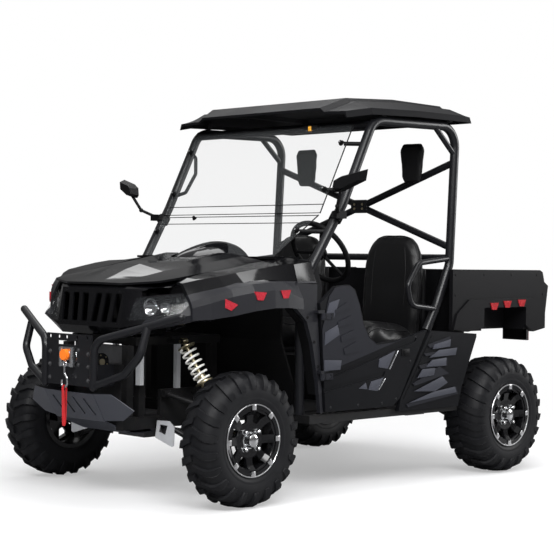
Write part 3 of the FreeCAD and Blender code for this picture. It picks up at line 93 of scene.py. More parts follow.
class Wire:
    """One output socket, whose operators add Math nodes."""

    def __init__(self, recipe, socket):
        self.recipe, self.socket = recipe, socket

    def maths(self, operation, left, right=0.0, clamp=False):
        return self.recipe.node("Math", {0: left, 1: right}, operation=operation, use_clamp=clamp)

    def __add__(self, other):
        return self.maths("ADD", self, other)

    def __sub__(self, other):
        return self.maths("SUBTRACT", self, other)

    def __rsub__(self, other):
        return self.maths("SUBTRACT", other, self)

    def __mul__(self, other):
        return self.maths("MULTIPLY", self, other)

    __radd__ = __add__

    def step(self, low, high):
        """Rises from 0 to 1 while the value goes from low to high."""
        return self.maths("MULTIPLY", self - low, 1 / (high - low), clamp=True)

    def size(self):
        return self.maths("ABSOLUTE", self)

    def wave(self, turns_a_metre):
        """A smooth wave from 0 to 1 along a coordinate."""
        return self.maths("SINE", self * (math.tau * turns_a_metre)) * 0.5 + 0.5


class Recipe:
    """The procedural nodes of one material, or of the world."""

    def __init__(self, name, owner=None):
        self.name, self.owner = name, owner or bpy.data.materials.new(name)
        self.owner.use_nodes = True
        self.tree = self.owner.node_tree
        self.tree.nodes.clear()

    def node(self, kind, values=None, out=0, **settings):
        made = self.tree.nodes.new("ShaderNode" + kind)
        for key, value in settings.items():
            setattr(made, key, value)
        for key, value in (values or {}).items():
            if isinstance(value, Wire):
                self.tree.links.new(value.socket, made.inputs[key])
            else:
                made.inputs[key].default_value = (*value, 1) if isinstance(value, tuple) else value
        return Wire(self, made.outputs[out]) if made.outputs else None

    def place(self):
        return self.node("TexCoord", out="Object")

    def noise(self, scale, detail):
        return self.node("TexNoise", {"Vector": self.place(), "Scale": scale, "Detail": detail}, "Fac")

    def cells(self, scale):
        return self.node("TexVoronoi", {"Vector": self.place(), "Scale": scale}, "Distance")

    def split(self, vector):
        return [Wire(self, output) for output in self.node("SeparateXYZ", {0: vector}).socket.node.outputs]

    def mix(self, share, first, second):
        return self.node("Mix", {0: share, 6: first, 7: second}, 2, data_type="RGBA")

    def bump(self, height, depth, strength, under=None):
        values = {"Height": height, "Strength": strength, "Distance": depth}
        return self.node("Bump", {**values, "Normal": under} if under else values)

    def close(self, shader):
        """Make the shader the surface, and keep the material under its name."""
        self.node("OutputMaterial", {"Surface": shader})
        finishes[self.name] = self.owner

    def finish(self, **sockets):
        """Close with the Principled shader; the words of a socket's name are joined by underscores."""
        self.close(self.node("BsdfPrincipled", {key.replace("_", " "): sockets[key] for key in sockets}))


print("recipes ready")

# %% [markdown]
# The stage is a pale floor that meets a white surround. The floor is lit like any surface, so it
# keeps the soft shadow under the tyres, and part of it glows for the camera only, which lifts the
# pale grey to white without any more light on the vehicle, and more so further away. Mirrored in
# the vehicle the floor is dark grey, like the black cloth that a photographer lays in front of a
# black product. Large soft lamps draw long clean highlights on the panels.

# %% Floor, surround and lamps
FLOOR_REACH = 60
FLOOR_TONE, FLOOR_MIRRORED = (0.86, 0.86, 0.87), (0.14, 0.14, 0.145)
GLOW_NEAR, GLOW_FAR, LEAST_GLOW = 1.9, 4.2, 0.4
ROOM_LIGHT = 0.6

paint = Recipe("stage_floor")
mirrored = paint.node("LightPath", out="Is Glossy Ray")
lit = paint.node("BsdfPrincipled", {"Base Color": paint.mix(mirrored, FLOOR_TONE, FLOOR_MIRRORED),
                                    "Roughness": 0.5 + paint.noise(9.0, 3) * 0.1})
glow = paint.node("Emission", {"Color": (1, 1, 1), "Strength": 1.0})
away = paint.node("VectorMath", {0: paint.place()}, "Value", operation="LENGTH").step(GLOW_NEAR, GLOW_FAR)
seen = paint.node("LightPath", out="Is Camera Ray")
paint.close(paint.node("MixShader", {0: seen * (away * (1 - LEAST_GLOW) + LEAST_GLOW), 1: lit, 2: glow}))
bm = bmesh.new()
bmesh.ops.create_grid(bm, x_segments=4, y_segments=4, size=FLOOR_REACH)
floor_mesh = bpy.data.meshes.new("stage_floor")
bm.to_mesh(floor_mesh)
bm.free()
floor_mesh.materials.append(finishes["stage_floor"])
in_scene("stage_floor", floor_mesh)

# The camera sees a white room. What the vehicle mirrors is dim at the sides and brighter overhead.
world = bpy.data.worlds.new("surround")
bpy.context.scene.world = world
room = Recipe("surround", world)
height = room.split(room.node("TexCoord", out="Generated"))[2]
shade = room.node("MapRange", {"Value": height, "From Min": 0.28, "From Max": 0.95,
                               "To Min": ROOM_LIGHT * 0.2, "To Max": ROOM_LIGHT * 1.3})
seen = room.node("LightPath", out="Is Camera Ray")
through = room.node("LightPath", out="Is Transmission Ray")
level = room.node("MapRange", {"Value": seen.maths("MAXIMUM", seen, through), "To Min": shade, "To Max": 1.0})
room.node("OutputWorld", {"Surface": room.node("Background", {"Color": (1, 1, 1), "Strength": level})})

LAMPS = (
    # name, place, aimed at, width, height, watts
    ("key_lamp", (3.2, 4.6, 4.6), (0, 0, 0.9), 3.0, 2.4, 330),
    ("fill_lamp", (5.0, 2.0, 4.4), (0.3, 0, 0.7), 2.0, 1.2, 150),
    ("top_lamp", (-0.4, 0.4, 5.2), (0, 0, 0.8), 3.6, 2.6, 190),
    ("back_lamp", (-1.4, -2.6, 4.2), (1.0, 0, 1.0), 3.2, 1.1, 30),
    ("rim_lamp", (-5.0, 3.4, 2.6), (-0.5, 0, 0.8), 2.4, 2.4, 170),
)
for name, place, target, width, height, watts in LAMPS:
    light = bpy.data.lights.new(name, "AREA")
    light.shape, light.size, light.size_y, light.energy = "RECTANGLE", width, height, watts
    lamp = in_scene(name, light)
    lamp.location = place
    lamp.rotation_euler = (Vector(target) - Vector(place)).to_track_quat("-Z", "Y").to_euler()
bpy.context.scene.view_settings.view_transform = "Standard"
print("stage:", len(LAMPS), "lamps")

# %% [markdown]
# Most of the vehicle is moulded plastic. The body sides, roof and floor are a matte black plastic
# with a fine pebbled texture, pressed into it by the mould: tiny cells in a bump, with a slow
# change of tone where hands and dust have been. The hood and nose are glossy, with the faint
# orange peel of sprayed paint, and stay clean.

# %% Plastics
GRAIN, COARSE_GRAIN = 0.0011, 0.002
PEBBLE_SCALE, PEBBLE_DEPTH = 900.0, 0.00012


def tinted(tone, factor, lift=0.0):
    return tuple(v * factor + lift for v in tone)


def pebbled_plastic(name, tone, rough, grain_size=GRAIN):
    paint = Recipe(name)
    fine = paint.noise(2.2 / grain_size, 2)
    dusty = paint.noise(3.0, 4).step(0.45, 0.75)
    grain = paint.cells(1 / grain_size) * 0.7 + fine * 0.3
    paint.finish(Base_Color=paint.mix(dusty * 0.55, tone, tinted(tone, 1.4, 0.002)),
                 Roughness=rough + dusty * 0.08 + fine * 0.05, Normal=paint.bump(grain, PEBBLE_DEPTH, 0.6),
                 Specular_IOR_Level=0.09)


def gloss_plastic(name, tone, rough):
    paint = Recipe(name)
    haze = paint.noise(5.0, 5)
    paint.finish(Base_Color=paint.mix(haze.step(0.4, 0.8) * 0.5, tone, tinted(tone, 1.6)),
                 Roughness=rough + haze * 0.05, Normal=paint.bump(paint.noise(160.0, 2), 0.0004, 0.10),
                 Specular_IOR_Level=0.4)


pebbled_plastic("matte_black", (0.0070, 0.0072, 0.0085), 0.46)
pebbled_plastic("roof_black", (0.0042, 0.0042, 0.0050), 0.5)
pebbled_plastic("bed_black", (0.0045, 0.0045, 0.0052), 0.42)
pebbled_plastic("floor_black", (0.0060, 0.0060, 0.0065), 0.6, COARSE_GRAIN)
pebbled_plastic("trim_black", (0.0045, 0.0045, 0.0050), 0.4)
# Painted sheen: the facets on doors and side panels are a lighter grey, for the light that they catch.
pebbled_plastic("facet_grey", (0.040, 0.042, 0.052), 0.42)
pebbled_plastic("wheel_well_black", (0.0035, 0.0035, 0.0040), 0.7, COARSE_GRAIN)
pebbled_plastic("stop_orange", (0.75, 0.16, 0.015), 0.5)
gloss_plastic("gloss_black", (0.0030, 0.0030, 0.0036), 0.05)
gloss_plastic("rim_black", (0.0040, 0.0040, 0.0046), 0.14)
print("plastics ready")

# %% [markdown]
# Tube, frame and bumper are steel with a satin powder coat. Powder flows a little before it sets,
# so its skin is gently rippled at about a millimetre, and its gloss is even. The lower frame has a
# little dust. Bare metals differ in tone, gloss, grain and stain.

# %% Painted and bare metals
DUST_TONE = (0.12, 0.105, 0.085)


def powder_coat(name, tone, rough, dust=0.0):
    paint = Recipe(name)
    patches = paint.noise(7.0, 5)
    grime = paint.noise(38.0, 6).step(0.52, 0.78) * dust
    paint.finish(Base_Color=paint.mix(grime, paint.mix(patches, tone, tinted(tone, 1.25)), DUST_TONE),
                 Roughness=rough + patches * 0.08 + grime * 0.4,
                 Normal=paint.bump(paint.noise(620.0, 2), 0.0003, 0.22), Specular_IOR_Level=0.32)


def metal(name, tone, rough, grain, depth, stain, shiny=1.0):
    paint = Recipe(name)
    fine, blotch = paint.noise(grain, 3), paint.noise(24.0, 5)
    paint.finish(Base_Color=paint.mix(blotch.step(0.4, 0.75) * stain, tone, tinted(tone, 0.55)),
                 Metallic=shiny, Roughness=rough + fine * 0.08 + blotch * 0.1,
                 Normal=paint.bump(fine, depth, 0.4))


powder_coat("cage_paint", (0.0060, 0.0062, 0.0075), 0.28)
powder_coat("frame_paint", (0.0050, 0.0050, 0.0055), 0.42, 0.05)
powder_coat("steel_wing", (0.032, 0.034, 0.042), 0.30, 0.04)
powder_coat("spring_white", (0.78, 0.78, 0.75), 0.3, 0.12)
metal("zinc", (0.62, 0.55, 0.38), 0.28, 900.0, 0.0001, 0.3)
metal("cast_iron", (0.10, 0.10, 0.105), 0.5, 420.0, 0.0005, 0.4, 0.75)
metal("cast_alloy", (0.34, 0.34, 0.35), 0.42, 380.0, 0.0004, 0.35, 0.9)
metal("bright_steel", (0.74, 0.75, 0.77), 0.16, 700.0, 0.00008, 0.15)
metal("chrome", (0.86, 0.87, 0.88), 0.05, 900.0, 0.00003, 0.05)
# Painted sheen, in part: a light, half-metallic silver that looks light whatever it mirrors.
metal("alloy_and_painted_sheen", (0.50, 0.51, 0.53), 0.35, 1100.0, 0.0001, 0.25, 0.35)
metal("machined", (0.80, 0.80, 0.81), 0.2, 1500.0, 0.00005, 0.05)
print("metals ready")

# %% [markdown]
# Rubber is never quite black: it is dull, and a little lighter where dust sits on it.
# The windshield is clear polycarbonate, so it is almost transparent and casts almost no shadow. A
# lens has prisms behind a clear coat, and webbing has ribs along its length, crossed by a fine weave.

# %% Rubber, vinyl, panes, lenses and webbing
PRISM_SCALE = 170.0
THREAD = 0.0016


def rubber(name):
    paint = Recipe(name)
    speck = paint.noise(520.0, 3)
    dust = paint.noise(11.0, 5).step(0.45, 0.8)
    paint.finish(Base_Color=paint.mix(dust * 0.6, (0.0065, 0.0067, 0.0080), (0.0125, 0.0125, 0.0135)),
                 Roughness=0.46 + dust * 0.18 + speck * 0.08, Normal=paint.bump(speck, 0.0003, 0.35),
                 Specular_IOR_Level=0.2)


def vinyl(name, tone):
    paint = Recipe(name)
    soft = paint.noise(6.0, 3)
    wrinkle = paint.bump(paint.noise(60.0, 4), 0.0012, 0.25)
    paint.finish(Base_Color=paint.mix(soft.step(0.4, 0.8) * 0.5, tone, tinted(tone, 1.5)),
                 Roughness=0.34 + soft * 0.12, Normal=paint.bump(paint.cells(420.0), 0.00035, 0.5, wrinkle),
                 Specular_IOR_Level=0.3)


def clear_sheet(name, tint, share):
    """Mostly see-through: a thin clear sheet that still shows its gloss."""
    paint = Recipe(name)
    paint.finish(Base_Color=tint, Roughness=0.02 + paint.noise(14.0, 4) * 0.03, Alpha=share,
                 Specular_IOR_Level=0.5)
    paint.owner.surface_render_method = "BLENDED"


def lens_plastic(name, tone):
    paint = Recipe(name)
    prism = paint.cells(PRISM_SCALE)
    bright = tuple(min(1, v) for v in tinted(tone, 1.5, 0.02))
    paint.finish(Base_Color=paint.mix(prism, tone, bright), Roughness=0.1 + prism * 0.1,
                 Normal=paint.bump(prism, 0.0008, 0.6), Coat_Weight=0.8, Coat_Roughness=0.03)


def webbing(name, tone):
    paint = Recipe(name)
    across, along, up = paint.split(paint.place())
    rib, weave, worn = along.wave(1 / THREAD), up.wave(0.8 / THREAD), paint.noise(30.0, 4)
    faded = rib * weave * 0.5 + worn.step(0.45, 0.8) * 0.35
    paint.finish(Base_Color=paint.mix(faded, tone, tinted(tone, 0.45)),
                 Roughness=0.75 + worn * 0.1, Normal=paint.bump(rib * 0.6 + weave * 0.4, 0.0006, 0.7),
                 Specular_IOR_Level=0.25)


rubber("tyre_rubber")
vinyl("seat_vinyl", (0.0055, 0.0055, 0.0060))
vinyl("seam_thread", (0.0100, 0.0100, 0.0108))
clear_sheet("pane", (0.16, 0.17, 0.175), 0.075)
clear_sheet("lamp_pane", (0.045, 0.048, 0.052), 0.16)
lens_plastic("red_lens", (0.24, 0.006, 0.014))
lens_plastic("amber_lens", (0.80, 0.33, 0.02))
webbing("woven_red", (0.52, 0.018, 0.022))
print("soft and clear finishes ready")

# %% [markdown]
# Three finishes change from place to place, so their recipes read the place of each point.
# Doors and side panels have raised facets, painted a lighter grey as a painted sheen for the light that
# they catch. The tail lamps have a black housing in front of their lenses. The body is gloss paint above
# and matte plastic on the flares, switched by the distance from the vehicle's middle and by height.

# %% Finishes that depend on the place
PANEL_FACE = 0.752
HOUSING_REAR, HOUSING_TOP = -1.3862, 0.800
FENDER_FRONT, FLARE_SIDE, FLARE_TOP = 0.95, 0.700, 1.054

paint = Recipe("side_plastic")
x, y, z = paint.split(paint.place())
raised = y.size().step(PANEL_FACE + 0.0012, PANEL_FACE + 0.0020)
cloud = paint.noise(3.0, 4).step(0.45, 0.75)
# Painted sheen: the raised facets get the lighter tone, for the light that they catch.
low_tone, painted_sheen_tone = (0.0048, 0.0050, 0.0060), (0.0125, 0.0130, 0.0165)
low = paint.mix(cloud * 0.5, low_tone, tinted(low_tone, 1.4))
high = paint.mix(cloud * 0.5, painted_sheen_tone, tinted(painted_sheen_tone, 1.3))
paint.finish(Base_Color=paint.mix(raised, low, high), Roughness=0.34 + raised * 0.12 + cloud * 0.05,
             Normal=paint.bump(paint.cells(PEBBLE_SCALE), PEBBLE_DEPTH, 0.6), Specular_IOR_Level=0.10)

paint = Recipe("tail_lens")
x, y, z = paint.split(paint.place())
housing = (x - HOUSING_REAR).step(0.0, 0.0006) * (1 - z.step(HOUSING_TOP, HOUSING_TOP + 0.002))
prism = paint.cells(PRISM_SCALE)
tail_red = (0.22, 0.004, 0.007)
red = paint.mix(prism, tail_red, tinted(tail_red, 1.5, 0.02))
paint.finish(Base_Color=paint.mix(housing, red, (0.004, 0.004, 0.0045)),
             Roughness=0.1 + prism * 0.1 + housing * 0.3, Normal=paint.bump(prism, 0.0008, 0.5),
             Coat_Weight=0.6)

paint = Recipe("body_paint")
x, y, z = paint.split(paint.place())
forward = x.maths("MAXIMUM", x - FENDER_FRONT)
outside = (y.size() + forward * 1.06).step(FLARE_SIDE, FLARE_SIDE + 0.0012)
flare = outside * (1 - (z + forward * 0.37).step(FLARE_TOP, FLARE_TOP + 0.0012))
haze = paint.noise(5.0, 5)
gloss = paint.mix(haze.step(0.4, 0.8) * 0.5, (0.0030, 0.0030, 0.0036), (0.0055, 0.0055, 0.0062))
paint.finish(Base_Color=paint.mix(flare, gloss, (0.0095, 0.0098, 0.0125)),
             Roughness=0.06 + haze * 0.05 + flare * 0.38, Specular_IOR_Level=0.25,
             Normal=paint.bump(paint.cells(PEBBLE_SCALE) * flare, PEBBLE_DEPTH, 0.6))
print("finishes:", len(finishes))

# %% [markdown]
# Now each CAD node gets its finish. Tyres, seats and strap get one too, though finer pieces take
# their place further down.

# %% Dress the CAD nodes
DRESSED = {
    "frame_paint": "chassis_frame front_arms rear_arms steering_column hitch_receiver",
    "cage_paint": "cage_side_members cage_cross_members side_bolsters front_bumper grab_handle",
    "steel_wing": "bumper_skid",
    "roof_black": "roof",
    "side_plastic": "rear_side_panels door_left door_right",
    "bed_black": "cargo_bed tailgate",
    "matte_black": "dashboard",
    "floor_black": "cab_floor",
    "wheel_well_black": "wheel_liners",
    "trim_black": "windshield_clamps mirrors steering_wheel controls winch",
    "gloss_black": "hood",
    "body_paint": "front_body",
    "cast_iron": "rear_knuckles half_shafts knuckle_left knuckle_right steering_rack gearcases radiator",
    "cast_alloy": "powertrain exhaust",
    "bright_steel": "fairlead",
    # The bright posts are light plates that stand in part for highlights on round tubes: painted sheen.
    "alloy_and_painted_sheen": "bright_posts arm_guards",
    "spring_white": "coil_springs",
    "zinc": "dampers",
    "pane": "windshield",
    "lamp_pane": "headlamps",
    "red_lens": "fender_lenses",
    "tail_lens": "bed_lenses",
    "stop_orange": "cable_stop",
    "woven_red": "winch_strap",
    "seat_vinyl": "seat_cushions seat_backs headrests",
    "tyre_rubber": "tyre_front_left tyre_front_right tyre_rear_left tyre_rear_right",
    "rim_black": "rim_front_left rim_front_right rim_rear_left rim_rear_right",
}
for finish_name, node_names in DRESSED.items():
    for name in node_names.split():
        nodes[name].data.materials.clear()
        nodes[name].data.materials.append(finishes[finish_name])
print("bare nodes:", sorted(set(nodes) - set(" ".join(DRESSED.values()).split())))

# %% [markdown]
# Small helpers come before the pieces. A piece starts as a bmesh, gets its shape from operators, and
# ends as an object at the origin with its place in its mesh. Closing it recalculates the normals,
# sets smooth shading up to an angle, gives it its finishes and a body of the frame to ride on.

# %% Helpers for the pieces
ABOUT_Y, ABOUT_Z = (0, 1, 0), (0, 0, 1)


def close_piece(bm, name, finish_names, body="chassis", smooth_angle=30):
    """Turn a bmesh into a finished piece that rides on one body of the frame."""
    bmesh.ops.recalc_face_normals(bm, faces=bm.faces)
    mesh = bpy.data.meshes.new(name)
    bm.to_mesh(mesh)
    bm.free()
    for finish_name in finish_names.split():
        mesh.materials.append(finishes[finish_name])
    mesh.shade_smooth()
    mesh.set_sharp_from_angle(angle=math.radians(smooth_angle))
    piece = in_scene(name, mesh)
    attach(piece, body)
    return piece


def turned_to(way, place):
    """The matrix that turns Z to a way and moves to a place."""
    turn = Vector(ABOUT_Z).rotation_difference(Vector(way)).to_matrix().to_4x4()
    return Matrix.Translation(place) @ turn


def move_new(bm, before, matrix):
    """Move the vertices that were made since `before` was noted."""
    bmesh.ops.transform(bm, matrix=matrix, verts=[vert for vert in bm.verts if vert not in before])


def lifted(bm, faces):
    """Extrude faces and return the new vertices."""
    made = bmesh.ops.extrude_face_region(bm, geom=faces)["geom"]
    return [item for item in made if isinstance(item, bmesh.types.BMVert)]


def edges_within(verts):
    """The edges that join vertices of one group."""
    group = set(verts)
    return [edge for edge in set(edge for vert in verts for edge in vert.link_edges)
            if group.issuperset(edge.verts)]


def soften(bm, edges, amount, segments=2):
    bmesh.ops.bevel(bm, geom=list(edges), offset=amount, segments=segments, affect="EDGES", profile=0.5,
                    material=-1, clamp_overlap=True)


def spun(bm, outline, axis, steps, place=Matrix(), weld=0.0, material=0, arc=math.tau):
    """Turn an outline of (radius, height) pairs about an axis, and put the result in its place."""
    before, faces_before = set(bm.verts), set(bm.faces)
    verts = [bm.verts.new((radius, height, 0) if axis == ABOUT_Y else (radius, 0, height))
             for radius, height in outline]
    edges = [bm.edges.new(pair) for pair in zip(verts, verts[1:])]
    bmesh.ops.spin(bm, geom=verts + edges, cent=(0, 0, 0), axis=axis, angle=arc, steps=steps,
                   use_merge=arc == math.tau)
    if weld:
        bmesh.ops.remove_doubles(bm, verts=[vert for vert in bm.verts if vert not in before], dist=weld)
    move_new(bm, before, place)
    for face in bm.faces:
        if face not in faces_before:
            face.material_index = material


def oval(middle, wide, high, steps):
    """A round section for a spun ring, as (radius, height) pairs."""
    angles = [math.tau * step / steps for step in range(steps + 1)]
    return [(middle + wide * math.cos(angle), high * math.sin(angle)) for angle in angles]


def block(bm, low, high, softness, segments=2, material=0):
    """A box between two corners, with rounded edges."""
    made = bmesh.ops.create_cube(bm, size=1)["verts"]
    low, high = Vector(low), Vector(high)
    bmesh.ops.scale(bm, vec=high - low, verts=made)
    bmesh.ops.translate(bm, vec=(low + high) / 2, verts=made)
    for face in set(face for vert in made for face in vert.link_faces):
        face.material_index = material
    soften(bm, set(edge for vert in made for edge in vert.link_edges), softness, segments)


def rod(bm, first, second, radius, end_radius, sides, material=0):
    """A cylinder or cone from one point to another."""
    first, second = Vector(first), Vector(second)
    made = bmesh.ops.create_cone(bm, cap_ends=True, segments=sides, radius1=radius, radius2=end_radius,
                                 depth=(second - first).length)["verts"]
    bmesh.ops.transform(bm, matrix=turned_to(second - first, (first + second) / 2), verts=made)
    for face in set(face for vert in made for face in vert.link_faces):
        face.material_index = material


def stud(bm, place, way, radius, height, sides=6, material=0, taper=1.0):
    """A short nut or bolt head that stands on a surface."""
    place = Vector(place)
    rod(bm, place, place + Vector(way).normalized() * height, radius, radius * taper, sides, material)


print("helpers ready")

# %% [markdown]
# The tyre is the piece that the eye meets first. On the real one a rounded carcass carries two rows of
# slanted lugs that wrap over the shoulder and fade out on the sidewall. The carcass is an outline
# spun about the axle. One lug is a small grid, laid on the carcass, raised and softened, and then
# copied round, with the other row half a step behind.

# %% Tyre carcass and tread
AXLE_HEIGHT, HALF_TRACK = 0.3175, 0.690
CARCASS = (
    # share of the half width, radius in millimetres, from the crown to the bead
    (0.00, 303.5), (0.30, 303), (0.56, 299), (0.74, 291), (0.87, 277), (0.955, 258), (0.995, 236),
    (0.99, 218), (0.965, 203), (0.958, 199), (0.962, 197), (0.935, 187), (0.90, 180), (0.895, 176),
    (0.875, 176), (0.86, 171), (0.80, 163), (0.72, 158),
)
LUG_PATH = (
    # share of the half width, and in millimetres: radius, half length, slant round the tyre, height
    (0.02, 303, 17, -20, 13.5), (0.22, 303, 18, -12, 13.5), (0.42, 301, 19, -3, 13.5),
    (0.60, 297.5, 20, 5, 13.5), (0.76, 289, 22, 11, 13), (0.89, 274, 23, 14, 11),
    (0.965, 255, 21, 15, 8), (0.985, 240, 17, 15, 4.5),
)
LUG_COUNT = 22
LUG_ROOT, LUG_TOP_SHARE, LUG_RADIUS, LUG_EDGE = -4, 0.80, 0.30, 0.0028
WHEELS = [
    (end + "_" + side_name, side, axle_x, half_width)
    for end, axle_x, half_width in (("front", 0.950, 0.1025), ("rear", -0.990, 0.1275))
    for side_name, side in SIDES
]


def to_wheel(axle_x, side):
    """From a left wheel about the origin to its place, and half round for the right side."""
    return (Matrix.Translation((axle_x, side * HALF_TRACK, AXLE_HEIGHT))
            @ Matrix.Rotation(0 if side > 0 else math.pi, 4, "Z"))


def lay_lug(bm, half_width, side, start_angle):
    rows = len(LUG_PATH) - 1
    grid = bmesh.ops.create_grid(bm, x_segments=2, y_segments=rows, size=1)["verts"]
    tops = lifted(bm, list(set(face for vert in grid for face in vert.link_faces)))
    for verts, raised in ((grid, False), (tops, True)):
        for vert in verts:
            across, row = vert.co.x, round((vert.co.y + 1) / 2 * rows)
            share, radius, half_long, slant, height = LUG_PATH[row]
            before, after = LUG_PATH[max(row - 1, 0)], LUG_PATH[min(row + 1, rows)]
            slope = Vector(((after[0] - before[0]) * half_width * 1000, after[1] - before[1])).normalized()
            lift = height if raised else LUG_ROOT
            reach = (radius + slope.x * lift) / 1000
            length = across * half_long * (LUG_TOP_SHARE if raised else 1)
            angle = start_angle + (slant + length) / 1000 / LUG_RADIUS
            vert.co = Vector((reach * math.sin(angle),
                              side * (share * half_width - slope.y * lift / 1000), reach * math.cos(angle)))
    top = set(tops)
    soften(bm, [edge for edge in edges_within(tops)
                if sum(top.issuperset(face.verts) for face in edge.link_faces) == 1], LUG_EDGE)


for name, side, axle_x, half_width in WHEELS:
    bm = bmesh.new()
    outline = [(radius / 1000, share * half_width) for share, radius in reversed(CARCASS)]
    outline += [(radius / 1000, -share * half_width) for share, radius in CARCASS[1:]]
    spun(bm, outline, ABOUT_Y, 120)
    for row_side, offset in ((1, 0.0), (-1, 0.5)):
        for number in range(LUG_COUNT):
            lay_lug(bm, half_width, row_side, (number + offset) * math.tau / LUG_COUNT)
    bmesh.ops.transform(bm, matrix=to_wheel(axle_x, side), verts=bm.verts)
    piece = close_piece(bm, "tread_" + name, "tyre_rubber", "wheel_" + name, 40)
    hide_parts("tyre_" + name)
print("tyres:", len(piece.data.polygons), "faces each")

# %% [markdown]
# The alloy wheels are gloss black. What shines is only what the lathe touched after painting: a thin ring
# on the lip and eight small pads round it. Four chrome nuts and a chrome cap sit deep in the
# dish. They are one small piece a wheel, with machined metal on the ring and pads.

# %% Wheel trim: machined ring and pads, nuts and cap
LIP_RING = ((0.1660, -0.001), (0.1662, 0.0016), (0.1672, 0.0026), (0.1706, 0.0026), (0.1716, 0.0012),
            (0.1716, -0.001))
CAP = ((0.0002, 0.0092), (0.014, 0.0085), (0.0245, 0.006), (0.0300, 0.0015), (0.0338, -0.012),
       (0.0355, -0.028), (0.041, -0.0295), (0.0415, -0.033))
NUT_STACK = (
    # start over the dish, radius, height, sides, taper: washer, nut, tip
    (-0.002, 0.0135, 0.010, 20, 0.86), (0.007, 0.0105, 0.020, 6, 0.94), (0.026, 0.0088, 0.005, 16, 0.5),
)
RIM_INSET, DISH_DEPTH, NUT_CIRCLE, NUT_COUNT, PAD_COUNT = 0.010, 0.030, 0.057, 4, 8

for name, side, axle_x, half_width in WHEELS:
    face_y = half_width - RIM_INSET
    bm = bmesh.new()
    spun(bm, [(radius, face_y + y) for radius, y in LIP_RING], ABOUT_Y, 96)
    for number in range(PAD_COUNT):
        block(bm, (0.1425, face_y - 0.004, -0.0125), (0.1685, face_y + 0.0032, 0.0125), 0.0016)
        # picked by place, so a few vertices of the lip ring go along
        pad = [vert for vert in bm.verts if not vert.tag and 0.14 < vert.co.x < 0.1687
               and abs(vert.co.z) < 0.0126 and vert.co.y > face_y - 0.005]
        for vert in pad:
            vert.tag = True
        spin_to = Matrix.Rotation(math.tau / PAD_COUNT * number, 3, "Y")
        bmesh.ops.rotate(bm, cent=(0, 0, 0), matrix=spin_to, verts=pad)
    for number in range(NUT_COUNT):
        angle = math.tau * (number + 0.5) / NUT_COUNT
        for rise, radius, height, sides, taper in NUT_STACK:
            foot = (NUT_CIRCLE * math.cos(angle), face_y - DISH_DEPTH + rise, NUT_CIRCLE * math.sin(angle))
            stud(bm, foot, (0, 1, 0), radius, height, sides, 1, taper)
    spun(bm, [(radius, face_y + y) for radius, y in CAP], ABOUT_Y, 48, material=1)
    bmesh.ops.remove_doubles(bm, verts=bm.verts, dist=0.00003)
    bmesh.ops.transform(bm, matrix=to_wheel(axle_x, side), verts=bm.verts)
    piece = close_piece(bm, "wheel_trim_" + name, "machined chrome", "wheel_" + name)
print("wheel trim:", len(piece.data.polygons), "faces each")

# %% [markdown]
# Seats are soft, so they aren't left as lofted boxes. Each pad starts as a rounded block of the right
# size, and Blender's cloth, with a little pressure and no gravity, blows it up as foam does under a
# tight cover: the faces crown and the sides pull in between the corners. The swelling is capped and
# applied, and its small wrinkles are smoothed out.

# %% Pads blown up by cloth
SEAT_Y, HEAD_Y = 0.362, 0.406
SIDEWAYS, FORWARDS, UPWARDS = Vector((0, 1, 0)), Vector((1, 0, 0)), Vector((0, 0, 1))
CUSHION_SHAPE = (
    # x of the section, half width, low z, high z
    (-0.084, 0.184, 0.690, 0.776),
    (-0.106, 0.210, 0.665, 0.814),
    (-0.150, 0.222, 0.655, 0.829),
    (-0.290, 0.224, 0.652, 0.818),
    (-0.425, 0.222, 0.652, 0.802),
)
BACK_SHAPE = (
    # z of the section, half width, x of the front, x of the rear
    (0.700, 0.200, -0.462, -0.512),
    (0.860, 0.213, -0.464, -0.524),
    (1.040, 0.217, -0.478, -0.535),
    (1.140, 0.211, -0.484, -0.539),
    (1.210, 0.196, -0.490, -0.543),
    (1.262, 0.168, -0.496, -0.546),
    (1.296, 0.128, -0.501, -0.547),
    (1.311, 0.078, -0.505, -0.546),
)
HEAD_SHAPE = ((1.588, 0.052), (1.622, 0.074), (1.700, 0.082), (1.778, 0.088), (1.812, 0.066))  # z, half width
HEAD_X, HEAD_HALF = -0.6015, 0.0115
SETTLE_STEPS, CALM_STEPS = 20, 28


def rounded_ring(middle, up, half_wide, half_high, corner):
    """Eight corners of a cut-cornered outline, about a middle point."""
    wide, high = half_wide - corner, half_high - corner
    flat = ((wide, -half_high), (half_wide, -high), (half_wide, high), (wide, half_high),
            (-wide, half_high), (-half_wide, high), (-half_wide, -high), (-wide, -half_high))
    return [Vector(middle) + SIDEWAYS * a + up * b for a, b in flat]


def pad_block(name, sections, softness, segments):
    """A closed block through sections, each a list of corners, softly bevelled."""
    bm = bmesh.new()
    rings = []
    for corners in sections:
        verts = [bm.verts.new(corner) for corner in corners]
        rings.append([bm.edges.new(pair) for pair in zip(verts, verts[1:] + verts[:1])])
    for first, second in zip(rings, rings[1:]):
        bmesh.ops.bridge_loops(bm, edges=first + second)
    for ring in (rings[0], rings[-1]):
        bmesh.ops.contextual_create(bm, geom=ring)
    bmesh.ops.recalc_face_normals(bm, faces=bm.faces)
    soften(bm, bm.edges[:], softness, segments)
    mesh = bpy.data.meshes.new(name)
    bm.to_mesh(mesh)
    bm.free()
    return in_scene(name, mesh)


def made_real(shown):
    """The mesh that an object's curve or modifiers make."""
    return bpy.data.meshes.new_from_object(shown.evaluated_get(bpy.context.evaluated_depsgraph_get()))


def keep_result(piece):
    """Replace a piece's mesh by what its modifiers make of it."""
    seen_mesh = made_real(piece)
    piece.modifiers.clear()
    old, piece.data = piece.data, seen_mesh
    bpy.data.meshes.remove(old)


